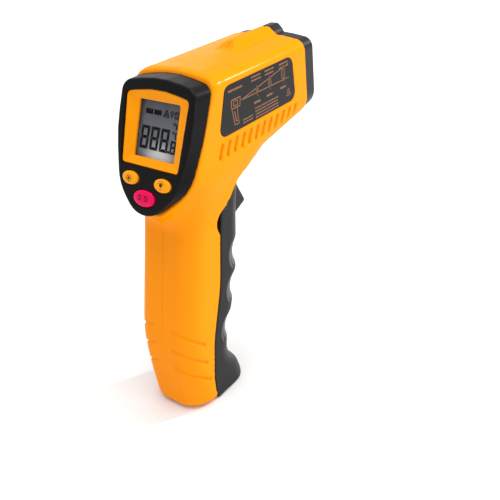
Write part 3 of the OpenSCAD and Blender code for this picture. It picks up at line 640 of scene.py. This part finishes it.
def body_mass(x, y, z):
    """The body with no hollow, reaching on past the nose."""
    side = outline(rounded(BODY_SIDE), y, z)
    ahead = joint_ahead(y, z)
    rim = (RIM_WIDE - BARREL_HALF) * np.clip(1.3 - ahead / 7, 0, 1) ** 2
    barrel = both(outline(rounded(ROOF), x, z) - 0.3 * rim,
                  both(np.abs(x) - BARREL_HALF - rim, -below_barrel(y, z), BARREL_ROUND))
    neck = np.maximum(both(np.abs(x) - GRIP_HALF + taper(y), -13 - y, 12), z - NECK_TOP)
    head = either(barrel, neck, 5)
    band = outline(rounded(RIM_LINE), x, z) - 0.34 * np.maximum(ahead, 0)
    head = both(head, band, 1.2)
    column = both(np.abs(x) - grip_width(z) + taper(y), grip_rear(z) - y, corner_radius(z))
    grip = np.maximum(both(column, -z, 4), z - NECK_TOP)
    body = either(head, grip, 8)
    return both(np.maximum(body, side), -ahead, 0.8)


def cover_room(y, z, d):
    """Space that the battery cover takes out of the body, widened by d."""
    return less(outline(rounded(COVER_SIDE), y, z) - d, heel(y, z, TOE_R + d))


def vents(x, y, z):
    """Slanted grooves below the side plate."""
    half_length, half_width, deep = 2.7, 0.68, 1.1
    nearest = EMPTY
    for i in range(VENTS):
        dy, dz = y - VENT_Y - VENT_PITCH * i, z - VENT_Z
        across = dy * math.cos(VENT_LEAN) - dz * math.sin(VENT_LEAN)
        along = dy * math.sin(VENT_LEAN) + dz * math.cos(VENT_LEAN)
        slot = np.hypot(across, np.maximum(np.abs(along) - half_length, 0)) - half_width
        nearest = np.minimum(nearest, slot)
    return both(nearest, BARREL_HALF - deep - x, 0.3)


def face_place(y, z):
    """How far up the face, and how deep behind it."""
    up = (y - FACE_Y) * math.sin(FACE_TILT) + (z - FACE_Z) * math.cos(FACE_TILT)
    deep = (y - FACE_Y) * math.cos(FACE_TILT) - (z - FACE_Z) * math.sin(FACE_TILT)
    return up, deep


def grip_groove(x, y, z, start, end):
    """A groove that widens as it runs round the grip's rear corner and ends in a round dimple."""
    bulge, dimple_r = 1.6, 1.15
    points = []
    for t in np.linspace(0, 1, 9):
        height = start + (end - start) * t + bulge * math.sin(math.pi * t)
        turn = math.radians(-9 + 98 * t)
        width, rear, r = (float(size(height)) for size in (grip_width, grip_rear, corner_radius))
        points.append((width - r + r * math.sin(turn), rear + r - r * math.cos(turn), height))
    nearest = away_from(points[-1], x, y, z) - dimple_r
    for i in range(len(points) - 1):
        a, b = np.array(points[i]), np.array(points[i + 1])
        run = b - a
        t = np.clip(((x - a[0]) * run[0] + (y - a[1]) * run[1] + (z - a[2]) * run[2])
                    / (run @ run), 0, 1)
        away = away_from(a, x - t * run[0], y - t * run[1], z - t * run[2])
        nearest = np.minimum(nearest, away - (0.5 + 0.4 * (i + t) / (len(points) - 1)))
    return nearest


def build_shells():
    """The right half, and the left one as its mirror image with screw recesses."""
    low, high = (-1.0, -20.0, -1.5), (22.5, 77.5, 154.5)
    x, y, z = grid(low, high, COARSE)
    mass = body_mass(x, y, z)
    shell = np.maximum(mass, y - NOSE_JOINT)
    rear = y.ravel() < -2
    for start, end in GROOVES:
        near = (z.ravel() > end - 4) & (z.ravel() < start + 4)
        part = np.ix_(np.ones(x.size, bool), rear, near)
        groove = grip_groove(x, y[:, rear], z[:, :, near], start, end)
        shell[part] = less(shell[part], groove, 0.25)
    shell = less(shell, mass + WALL)
    ridge = np.maximum(outline(rounded(RIDGE), x, z), np.maximum(44 - y, y - NOSE_JOINT))
    slope = math.radians(28)
    ramp_cut = (z - 150) * math.cos(slope) - (y - 45) * math.sin(slope)
    shell = either(shell, both(ridge, ramp_cut, 0.6), 1.2)
    bosses = bar(x, y, z, (PIVOT_Y, PIVOT_Z), 3.4, SLOT_HALF, BARREL_HALF - 1)
    recesses = EMPTY
    for p in SCREWS:
        reach = BARREL_HALF - 1 if p[1] > 100 else FOOT_INNER
        bosses = np.minimum(bosses, bar(x, y, z, p, 3, 0, reach))
        head = np.maximum(np.hypot(y - p[0], z - p[1]) - 2.7, 4 - x)
        recesses = np.minimum(recesses, head)
    shell = either(shell, np.maximum(bosses, mass + 0.5), 0.4)
    up, deep = face_place(y, z)
    opening = np.maximum(outline_on(rounded(SHIELD, 1.9), x, up), between(deep, 0, 14))
    shell = less(shell, opening)
    shell = less(shell, cover_room(y, z, GAP), 0.25)
    lugs = np.minimum(bar(x, y, z, (HINGE_Y, HINGE_Z), 2.8, 4.4, 7),
                      block(x, y, z, (4.4, 0, 2), (7, HINGE_Y, HINGE_Z)))
    floor = less(block(x, y, z, (0, -7, 0), (FOOT_INNER - 2.6, HINGE_Y, 2.2)),
                 from_hinge(y, z) - 6.4)
    shell = np.minimum(shell, np.minimum(lugs, floor))
    shell = less(shell, vents(x, y, z))
    shell = less(shell, both(outline(rounded(LABEL, -0.1), y, z), BARREL_HALF - 0.4 - x), 0.1)
    thumb = away_from((THUMB_DENT[0], THUMB_DENT[1], 0), x, y, (z - THUMB_DENT[2]) / 1.05) - 8
    shell = less(shell, thumb, 0.5)
    blind = 9 * (x > 10)
    shell = less(shell, from_pivot(y, z) - PIVOT_BORE + blind)
    shell = less(shell, from_hinge(y, z) - HINGE_BORE + blind)
    for name, sign, values in (("right", 1, shell), ("left", -1, less(shell, recesses, 0.2))):
        vertices, quads = skin(both(values, -x), low, COARSE)
        vertices[vertices[:, 0] < 0.3, 0] = 0
        if sign < 0:
            vertices, quads = vertices * (-1, 1, 1), quads[:, ::-1]
        piece = put(name + "_body", vertices, quads, "yellow_abs", "body", "yellow_shell",
                    sharp=50)
        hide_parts(name + "_shell")


build_shells()


# ---------- battery cover

def cover_field(x, y, z):
    """The grip's front: a hollow shell with finger hollows, hinge, tabs and trigger slot."""
    front = follow(FRONT_LINE, z)
    depth = outline(rounded(COVER_SIDE), y, z)
    width = grip_width(z)
    side = np.abs(x)
    outer = both(side - width, y - front, COVER_ROUND)
    beside = np.clip(side - width + COVER_ROUND, 0, 0.99 * COVER_ROUND)
    bend = COVER_ROUND - np.sqrt(COVER_ROUND ** 2 - beside ** 2)
    for height, forward in FINGERS:
        finger = np.hypot(y - forward - FINGER_AHEAD + bend, z - height) - FINGER_R
        outer = less(outer, finger, 0.5)
    outer = both(outer, -z, 0.8)
    inner = np.maximum(both(side - width + WALL, y - front + follow(WALL_LINE, z), 8), z - 106.5)
    cover = less(np.maximum(outer, depth), inner)
    floor = np.maximum(np.minimum(from_hinge(y, z) - 6.1, HINGE_Y + 2 - y), z - 2.2)
    cover = np.minimum(cover, np.maximum(np.maximum(floor, outer + 1), -z))
    cover = np.minimum(cover, bar(side, y, z, (HINGE_Y, HINGE_Z), 3, LUG_END, FOOT_INNER - 1))
    for back, outside in ((5.8, GRIP_HALF - 2.3), (14.3, GRIP_HALF - 1.8)):
        tab = block(side, y, z, (GRIP_HALF - 4.4, back, 79.5), (outside, 16.5, 92.5))
        cover = np.minimum(cover, tab)
    slot = block(side, y, z, (-1, 0, 69.6), (SLOT_HALF, 50, 103.6))
    cover = less(cover, slot, 0.5)
    cover = less(cover, bar(side, y, z, (HINGE_Y, HINGE_Z), HINGE_BORE, -1, FOOT_INNER - 1.3))
    cover = less(cover, block(side, y, z, (4.1, 0, -1), (LUG_END, HINGE_Y + 4, 2.4)))
    return less(cover, heel(y, z, TOE_R))


battery_cover = solid("grip_cover", cover_field, (-17.5, -7, -1), (17.5, 36, 108.5), COARSE,
                      "grip_cover_abs", "cover", "grip_cover", sharp=50)
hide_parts("battery_cover")


# ---------- trigger

def trigger_field(x, y, z):
    arm = both(outline(rounded(TRIGGER_SIDE), y, z), np.abs(x) - TRIGGER_HALF, 1.1)
    arm = less(arm, outline(rounded(TRIGGER_WINDOW), y, z), 0.4)
    return less(arm, from_pivot(y, z) - PIVOT_BORE)


lever = solid("trigger_lever_piece", trigger_field, (-4, 8, 72), (4, 47, 111), MEDIUM,
              "trigger_abs", "trigger_lever", "trigger_black")
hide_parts("trigger")


# ---------- nose

def nose_field(x, y, z):
    """A hollow ring with the barrel's section, the mouth of the lens and the laser's hole."""
    def section(inset):
        """The barrel's section moved inwards."""
        keel = both(np.abs(x) - BARREL_HALF + inset, inset - below_barrel(y, z),
                    BARREL_ROUND - inset)
        return np.maximum(outline(rounded(ROOF, inset), x, z), keel)

    ridge = both(outline(rounded(RIDGE), x, z), y - NOSE_FRONT, 1.2)
    ring = either(both(section(0.4), y - NOSE_FRONT, 1.6), ridge, 0.4)
    ring = less(ring, np.maximum(section(WALL), y - NOSE_FRONT + 1.4))
    mouth = np.hypot(x, z - LENS_Z)
    ring = less(ring, mouth - 10.1, 0.25)
    ring = less(ring, mouth - 12.4 + 1.6 * (NOSE_FRONT - y), 0.2)
    ring = less(ring, np.hypot(x, z - LASER_Z) - 2.2, 0.25)
    return both(ring, NOSE_JOINT - y)


nose = solid("nose_ring_piece", nose_field, (-21.6, NOSE_JOINT - 1, 110),
             (21.6, NOSE_FRONT + 1, RIDGE_TOP + 1), MEDIUM, "nose_abs", "body", "black_bezel")
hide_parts("nose_ring")


def turned(profile, segments):
    """Vertices and faces of a solid turned about the lens axis from (radius, forward) points."""
    n = len(profile)
    vertices, faces = [], []
    for k in range(segments):
        turn = 2 * math.pi * k / segments
        vertices += [(r * math.cos(turn), y, LENS_Z + r * math.sin(turn)) for r, y in profile]
        here, beyond = k * n, (k + 1) % segments * n
        faces += [(here + i, here + (i + 1) % n, beyond + (i + 1) % n, beyond + i)
                  for i in range(n)]
    return vertices, faces


def hood_profile():
    """The hood's stepped bore, its front edge and its flange."""
    back, front = edge("lens_hood", 0, 1), edge("lens_hood", 1, 1)
    steps = 6
    profile = []
    for i in range(steps):
        y = back + (front - back) * i / steps
        r = 5.35 + 3.75 * i / steps
        profile += [(r, y), (r + 0.12, y + 1.5), (r + 0.55, y + 1.7)]
    return profile + [(9.25, front - 0.25), (9.45, front), (9.8, front), (10, front - 0.2),
                      (10, NOSE_FRONT - 1.45), (11.5, NOSE_FRONT - 1.45),
                      (11.5, NOSE_FRONT - 2.55), (9.4, NOSE_FRONT - 2.6), (6.3, back)]


hood = put("lens_hood_piece", *turned(hood_profile(), 96), "nose_abs", "body", "black_bezel",
           sharp=30)
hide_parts("lens_hood")


# ---------- display face

FACE = Matrix.Translation((0, FACE_Y * MM, FACE_Z * MM)) @ Matrix.Rotation(
    math.pi / 2 - FACE_TILT, 4, "X")


def ellipse(u, v, key, grow=0.0):
    """Roughly the distance from a key's outline."""
    a, b = key[2] + grow, key[3] + grow
    return (np.hypot((u - key[0]) / a, (v - key[1]) / b) - 1) * min(a, b)


def bezel_field(u, v, w):
    """A ring that runs straight forward from the face to the joint with the body, and widens
    from SHIELD to BACK on the way."""
    along = v + w * math.tan(FACE_TILT)
    y = FACE_Y + v * math.sin(FACE_TILT) - w * math.cos(FACE_TILT)
    z = FACE_Z + v * math.cos(FACE_TILT) + w * math.sin(FACE_TILT)
    reach = (JOINT_Y + (z - JOINT_Z) * math.tan(JOINT_LEAN)
             - FACE_Y - (z - FACE_Z) * math.tan(FACE_TILT))
    share = np.clip(-w / math.cos(FACE_TILT) / np.maximum(reach, 1), 0, 1)
    outer = (outline_on(rounded(SHIELD), u, along) * (1 - share)
             + outline_on(rounded(BACK), u, along) * share)
    ring = np.maximum(both(outer, w, 0.8), joint_ahead(y, z))
    ring = less(ring, np.maximum(outline_on(rounded(SHIELD, 1.3), u, along), w + 2.2))
    ring = less(ring, outline(rounded(FRAME_LINE, -0.1), u, v), 0.3)
    for key in (LEFT_KEY, RIGHT_KEY, UNIT_KEY):
        ring = less(ring, ellipse(u, v, key, 0.25), 0.35)
    return ring


bezel = solid("bezel_piece", bezel_field, (-21.9, -41, -11), (21.9, 26, 1), MEDIUM, "bezel_abs",
              "body", "black_bezel", FACE)
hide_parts("display_bezel")


def frame_field(u, v, w):
    """A frame that slopes in to the window, with a lip and two screw posts behind it."""
    line = outline(rounded(FRAME_LINE), u, v)
    window = np.maximum(np.abs(u) - WINDOW[0], np.abs(v) - WINDOW[1])
    dish = np.clip(-line, 0, 5) * 0.43
    ring = both(both(line, w + 0.45 + dish, 0.3), -w - 3.4)
    lip = np.maximum(np.maximum(outline(rounded(FRAME_LINE, -0.8), u, v),
                                outline(rounded(SHIELD, 2), u, v)), between(w, -3.4, -2.25))
    ring = np.minimum(ring, lip)
    for side in (-14.2, 14.2):
        post = np.hypot(u - side, v - 12)
        ring = np.minimum(ring, np.maximum(post - 1.6, between(w, -9.2, -2.2)))
        ring = less(ring, np.maximum(post - 0.85, w + 4))
    return less(ring, window, 0.3)


inner_frame = solid("display_frame_piece", frame_field, (-18, -16.5, -10), (18, 18.5, 0.5),
                    FINE, "yellow_frame", "body", "yellow_shell", FACE)
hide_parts("lcd_frame")


def slab_mesh(points, top, bottom, chamfer):
    """A thin plate from an outline, with its upper edge taken off."""
    centre = points.mean(0)
    reach = np.linalg.norm(points - centre, axis=1, keepdims=True)
    small = centre + (points - centre) * (reach - chamfer) / reach
    rings = [(points, bottom), (points, top - chamfer), (small, top)]
    return stacked([[(p[0], p[1], level) for p in ring] for ring, level in rings])


def face_slab(name, half_v, top, bottom, chamfer, finish, slot):
    """A thin plate behind the display's frame, parallel to the face."""
    half_u, r = 12.2, 0.6
    points = rounded([(-half_u, -half_v, r), (half_u, -half_v, r), (half_u, half_v, r),
                      (-half_u, half_v, r)])
    return put(name, *slab_mesh(points, top, bottom, chamfer), finish, "body", slot, FACE,
               sharp=30)


window_pane = face_slab("window_pane", 13, PANE_TOP, PANE_BOTTOM, 0.15, "display_window",
                        "window_clear")
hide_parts("lcd_window")
panel = face_slab("display_panel_piece", 14, PANEL_TOP, PANEL_BOTTOM, 0.1, "display_panel",
                  "lcd_grey")
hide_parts("lcd_panel")


class Print:
    """Flat marks gathered into one thin mesh in a plane's own directions."""

    def __init__(self, level, thick):
        self.level, self.thick = level, thick
        self.vertices, self.faces = [], []

    def shape(self, points):
        """A filled convex outline."""
        points = np.asarray(points, float)
        area = np.sum(points[:, 0] * np.roll(points[:, 1], -1)
                      - np.roll(points[:, 0], -1) * points[:, 1])
        if area < 0:
            points = points[::-1]
        vertices, faces = stacked([[(p[0], p[1], level) for p in points]
                                   for level in (self.level - self.thick, self.level)])
        start = len(self.vertices)
        self.vertices += vertices
        self.faces += [tuple(start + k for k in face) for face in faces]

    def line(self, a, b, width):
        a, b = np.array(a, float), np.array(b, float)
        across = np.array([a[1] - b[1], b[0] - a[0]])
        across *= width / 2 / np.linalg.norm(across)
        self.shape([a - across, b - across, b + across, a + across])

    def path(self, points, width, closed=False):
        points = list(points)
        if closed:
            points.append(points[0])
        for a, b in zip(points, points[1:]):
            self.line(a, b, width)

    def ring(self, at, half_u, half_v, width, steps=20):
        self.path(oval(at, half_u, half_v, steps), width, closed=True)

    def disc(self, at, r):
        self.shape(oval(at, r, r, 14))

    def bars(self, at, width, rows, pitch, thick, seed):
        """Rows of short dashes that stand for a caption."""
        dice = np.random.default_rng(seed)
        for row in range(rows):
            u = at[0]
            while u < at[0] + width:
                run = dice.uniform(0.5, 1.3)
                end = min(u + run, at[0] + width)
                if end - u > 0.2:
                    self.line((u, at[1] - row * pitch), (end, at[1] - row * pitch), thick)
                u = end + 0.3

    def on_face(self, name, slot, body, lift=lambda u, v: 0):
        """The marks in black ink on the display face, raised by lift(u, v)."""
        put(name, [(u, v, w + lift(u, v)) for u, v, w in self.vertices], self.faces, "ink_black",
            body, slot, FACE, smooth=False)


def digit(sheet, at, width, height, lean, thick):
    """A seven-segment figure with every segment lit."""
    half_u, half_v, gap = width / 2, height / 2, 0.1

    def segment(*corners):
        sheet.shape([(at[0] + u + lean * v, at[1] + v) for u, v in corners])

    inner_u = half_u - thick
    for side in (-1, 1):
        v, foot = side * half_v, side * (half_v - thick)
        segment((gap - half_u, v), (half_u - gap, v), (inner_u - gap, foot), (gap - inner_u, foot))
        for end in (-1, 1):
            u, core = side * half_u, side * inner_u
            segment((u, end * gap), (u, end * (half_v - gap)),
                    (core, end * (half_v - thick - gap)), (core, end * (thick / 2 + gap)))
    rung = thick / 2
    segment((gap - half_u, 0), (gap - inner_u, rung), (inner_u - gap, rung), (half_u - gap, 0),
            (inner_u - gap, -rung), (gap - inner_u, -rung))


segments = Print(-4.1, 0.06)
for i in range(3):
    digit(segments, (-7.7 + 5.3 * i, -3.4), 4.4, 9.2, 0.05, 1.2)
segments.disc((5.5, -7.4), 0.55)
digit(segments, (7.7, -5.4), 2.9, 5.2, 0.05, 0.8)
# two blocks, a triangle, a lamp, a box with two lines, and the marks of the units
for left in (-8.6, -4.1):
    segments.shape([(left, 5.9), (left + 3.9, 5.9), (left + 3.9, 7.9), (left, 7.9)])
segments.path([(0.9, 5.8), (3.9, 5.8), (2.4, 8.4)], 0.4, closed=True)
segments.disc((2.4, 6.6), 0.5)
segments.ring((5.3, 7.5), 0.6, 0.8, 0.4, 10)
segments.line((5.3, 6.7), (5.3, 5.8), 0.5)
segments.path([(6.9, 5.9), (9.9, 5.9), (9.9, 8.1), (6.9, 8.1)], 0.45, closed=True)
segments.line((7.5, 7.4), (9.3, 7.4), 0.4)
segments.line((7.5, 6.6), (9.3, 6.6), 0.4)
for level, feet in ((3.6, 1.1), (0.3, 2.1)):
    segments.ring((7.2, level), 0.45, 0.45, 0.34, 10)
    segments.path([(9.5, level), (8.3, level), (8.3, level - 2.1)], 0.48)
    segments.line((8.3, level - feet), (9.3, level - feet), 0.48)
segments.on_face("display_segments", "lcd_grey", "body")


# ---------- keys

def dome(key, u, v):
    """Height of a key's top over the face."""
    share = min(1.0, math.hypot((u - key[0]) / key[2], (v - key[1]) / key[3]))
    return KEY_EDGE + (KEY_PROUD - KEY_EDGE) * math.sqrt(max(0.0, 1 - share ** 2.6))


def key_piece(body, key, finish, node_name):
    """A domed oval cap with a flange behind the bezel."""
    steps = 72
    rings = []
    for grow, level in ((0.5, -3.0), (0.5, -2.35), (0.0, -2.3), (0.0, 0.15)):
        rings.append([(u, v, level) for u, v in oval(key, key[2] + grow, key[3] + grow, steps)])
    for share in (0.998, 0.985, 0.96, 0.92, 0.86, 0.78, 0.68, 0.56, 0.42, 0.28, 0.14, 0.03):
        rings.append([(u, v, dome(key, u, v))
                      for u, v in oval(key, key[2] * share, key[3] * share, steps)])
    piece = put(body + "_piece", *stacked(rings), finish, body, finish, FACE, sharp=55)
    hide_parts(node_name)


def key_mark(body, key, slot, draw):
    """A mark drawn round the key's middle, laid on its dome."""
    mark = Print(0.02, 0.05)
    draw(mark, key[0], key[1])
    mark.on_face(body + "_mark", slot, body, lambda u, v: dome(key, u, v))


def rays(mark, u, v, angles, inner, outer, width):
    for a in angles:
        mark.line((u + inner * math.cos(a), v + inner * math.sin(a)),
                  (u + outer * math.cos(a), v + outer * math.sin(a)), width)


def sunburst(mark, u, v):
    mark.disc((u, v - 0.2), 0.55)
    rays(mark, u, v - 0.2, [2 * math.pi * k / 8 for k in range(8)], 0.8, 1.6, 0.34)


def lamp(mark, u, v):
    mark.disc((u, v + 0.35), 0.8)
    mark.line((u, v - 0.2), (u, v - 1.5), 0.8)
    rays(mark, u, v + 0.35, [math.radians(15 + 37.5 * k) for k in range(5)], 1.1, 1.6, 0.28)


def rings_and_stroke(mark, u, v):
    for side in (-1.7, 1.7):
        mark.ring((u + side, v + 0.2), 0.75, 0.95, 0.4, 16)
    mark.line((u - 0.5, v - 1.2), (u + 0.5, v + 1.4), 0.4)


key_piece("laser_key", LEFT_KEY, "key_orange", "laser_button")
key_piece("backlight_key", RIGHT_KEY, "key_orange", "backlight_button")
key_piece("unit_key", UNIT_KEY, "key_crimson", "unit_button")
key_mark("laser_key", LEFT_KEY, "key_orange", sunburst)
key_mark("backlight_key", RIGHT_KEY, "key_orange", lamp)
key_mark("unit_key", UNIT_KEY, "key_crimson", rings_and_stroke)


# ---------- side plates

def side_plate(name, sign):
    """A dark plate with a thin copper-coloured diagram, in the plane of the body's side."""
    face = BARREL_HALF - 0.05

    def seated(vertices, faces):
        """Drawn forward, up and outward; set on the right side or mirrored on the left."""
        placed = [(sign * w, u, v) for u, v, w in vertices]
        return placed, [f if sign > 0 else f[::-1] for f in faces]

    plate = put(name + "_plate", *seated(*slab_mesh(rounded(LABEL), face, face - 0.3, 0.12)),
                "label_film", "body", "label_plate", sharp=30)
    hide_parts(name + "_label")
    marks = Print(face + 0.03, 0.05)
    # the cone of view, with three spots and their captions
    eye = (27.5, 136.3)
    marks.line(eye, (61.5, 142.0), 0.34)
    marks.line(eye, (61.5, 136.0), 0.34)
    for i, (at, half) in enumerate(((38.5, 1.2), (47.5, 1.9), (57.5, 2.6))):
        mid = 136.3 + (at - 27.5) * 0.08
        marks.ring((at, mid), 0.7 + 0.25 * i, half, 0.3)
        marks.line((at, mid - half - 1.4), (at, mid + half + 0.8), 0.24)
        marks.bars((at - 3.3 + 0.4 * i, 143.2 - 0.1 * i), 6.4, 2, 1.5, 0.62, 3 + i)
        marks.bars((at - 2.6, 132.4 + 0.25 * i), 4.2, 1, 1.0, 0.9, 13 + i)
    # the thermometer itself
    marks.path([(21.2, 134.6), (26.6, 134.6), (27.2, 138.0), (21.6, 138.0)], 0.42, closed=True)
    marks.path([(22.6, 135.4), (25.2, 135.4), (25.4, 137.2), (22.8, 137.2)], 0.34, closed=True)
    marks.path([(21.4, 134.4), (22.3, 127.8), (25.2, 127.6), (24.6, 131.0), (24.9, 134.4)], 0.38,
               closed=True)
    marks.path([(22.9, 133.2), (23.4, 129.0), (24.3, 129.0)], 0.5)
    # more captions, and a plain triangle
    marks.bars((20.2, 141.8), 9.4, 1, 0.8, 0.85, 23)
    marks.bars((27.6, 127.9), 6.8, 2, 1.25, 0.5, 24)
    marks.bars((36.2, 130.0), 16.5, 4, 1.3, 0.55, 25)
    marks.path([(59.0, 128.2), (62.4, 128.2), (60.7, 131.4)], 0.3, closed=True)
    marks.disc((60.7, 129.3), 0.4)
    put(name + "_print", *seated(marks.vertices, marks.faces), "ink_copper", "body",
        "label_plate", smooth=False)


side_plate("right", 1)
side_plate("left", -1)


# ---------- floor, light, camera

FLOOR_HALF = 4.0
floor_mesh = bpy.data.meshes.new("floor")
floor_mesh.from_pydata([(i * FLOOR_HALF, j * FLOOR_HALF, 0)
                        for i, j in ((-1, -1), (1, -1), (1, 1), (-1, 1))], [], [(0, 1, 2, 3)])
floor_mesh.materials.append(looks["pale_floor"])
floor = added("floor", floor_mesh)
floor.location.z = -0.2 * MM

world = bpy.data.worlds.new("studio")
world.use_nodes = True
background = world.node_tree.nodes["Background"]
background.inputs["Color"].default_value = (1, 1, 1, 1)
background.inputs["Strength"].default_value = 0.68
bpy.context.scene.world = world


def strip_light(name, place, size_x, size_y, power):
    """A soft box that faces the middle of the object."""
    light = bpy.data.lights.new(name, "AREA")
    light.shape = "RECTANGLE"
    light.size, light.size_y, light.energy = size_x, size_y, power
    box = added(name, light)
    box.location = place
    way = Vector((0, 0.02, 0.09)) - Vector(place)
    box.rotation_euler = way.to_track_quat("-Z", "Y").to_euler()


def soft_sun(name, way, angle, strength):
    """Even light that comes from a direction."""
    light = bpy.data.lights.new(name, "SUN")
    light.angle, light.energy = math.radians(angle), strength
    added(name, light).rotation_euler = Vector(way).to_track_quat("Z", "Y").to_euler()


soft_sun("top_light", (0.1, 0.1, 1.0), 50, 2.1)
strip_light("right_strip", (0.46, 0.64, 0.55), 0.06, 0.2, 3.2)
strip_light("side_strip", (0.95, 0.15, 0.22), 0.04, 0.3, 1.6)
strip_light("left_strip", (-0.6, 0.64, 0.34), 0.16, 0.5, 0.25)

# the view solved from the photograph
AZIMUTH, ELEVATION, ROLL = (math.radians(d) for d in (36.627, 30.451, -4.2))
view_back = Vector((math.sin(AZIMUTH) * math.cos(ELEVATION),
                    -math.cos(AZIMUTH) * math.cos(ELEVATION), math.sin(ELEVATION)))
level = Vector((0, 0, 1)).cross(view_back).normalized()
above = view_back.cross(level)
right = math.cos(ROLL) * level + math.sin(ROLL) * above
up = -math.sin(ROLL) * level + math.cos(ROLL) * above
lens = bpy.data.cameras.new("camera")
lens.sensor_width = 36.0
lens.lens = 48.26
lens.shift_x = -0.0643
lens.shift_y = -0.0207
lens.clip_start = 0.01
camera = added("camera", lens)
pose = Matrix((right, up, view_back)).transposed().to_4x4()
pose.translation = Vector((184.96, -172.78, 222.79)) * MM
camera.matrix_world = pose
bpy.context.scene.camera = camera

bpy.context.scene.view_settings.view_transform = "Standard"
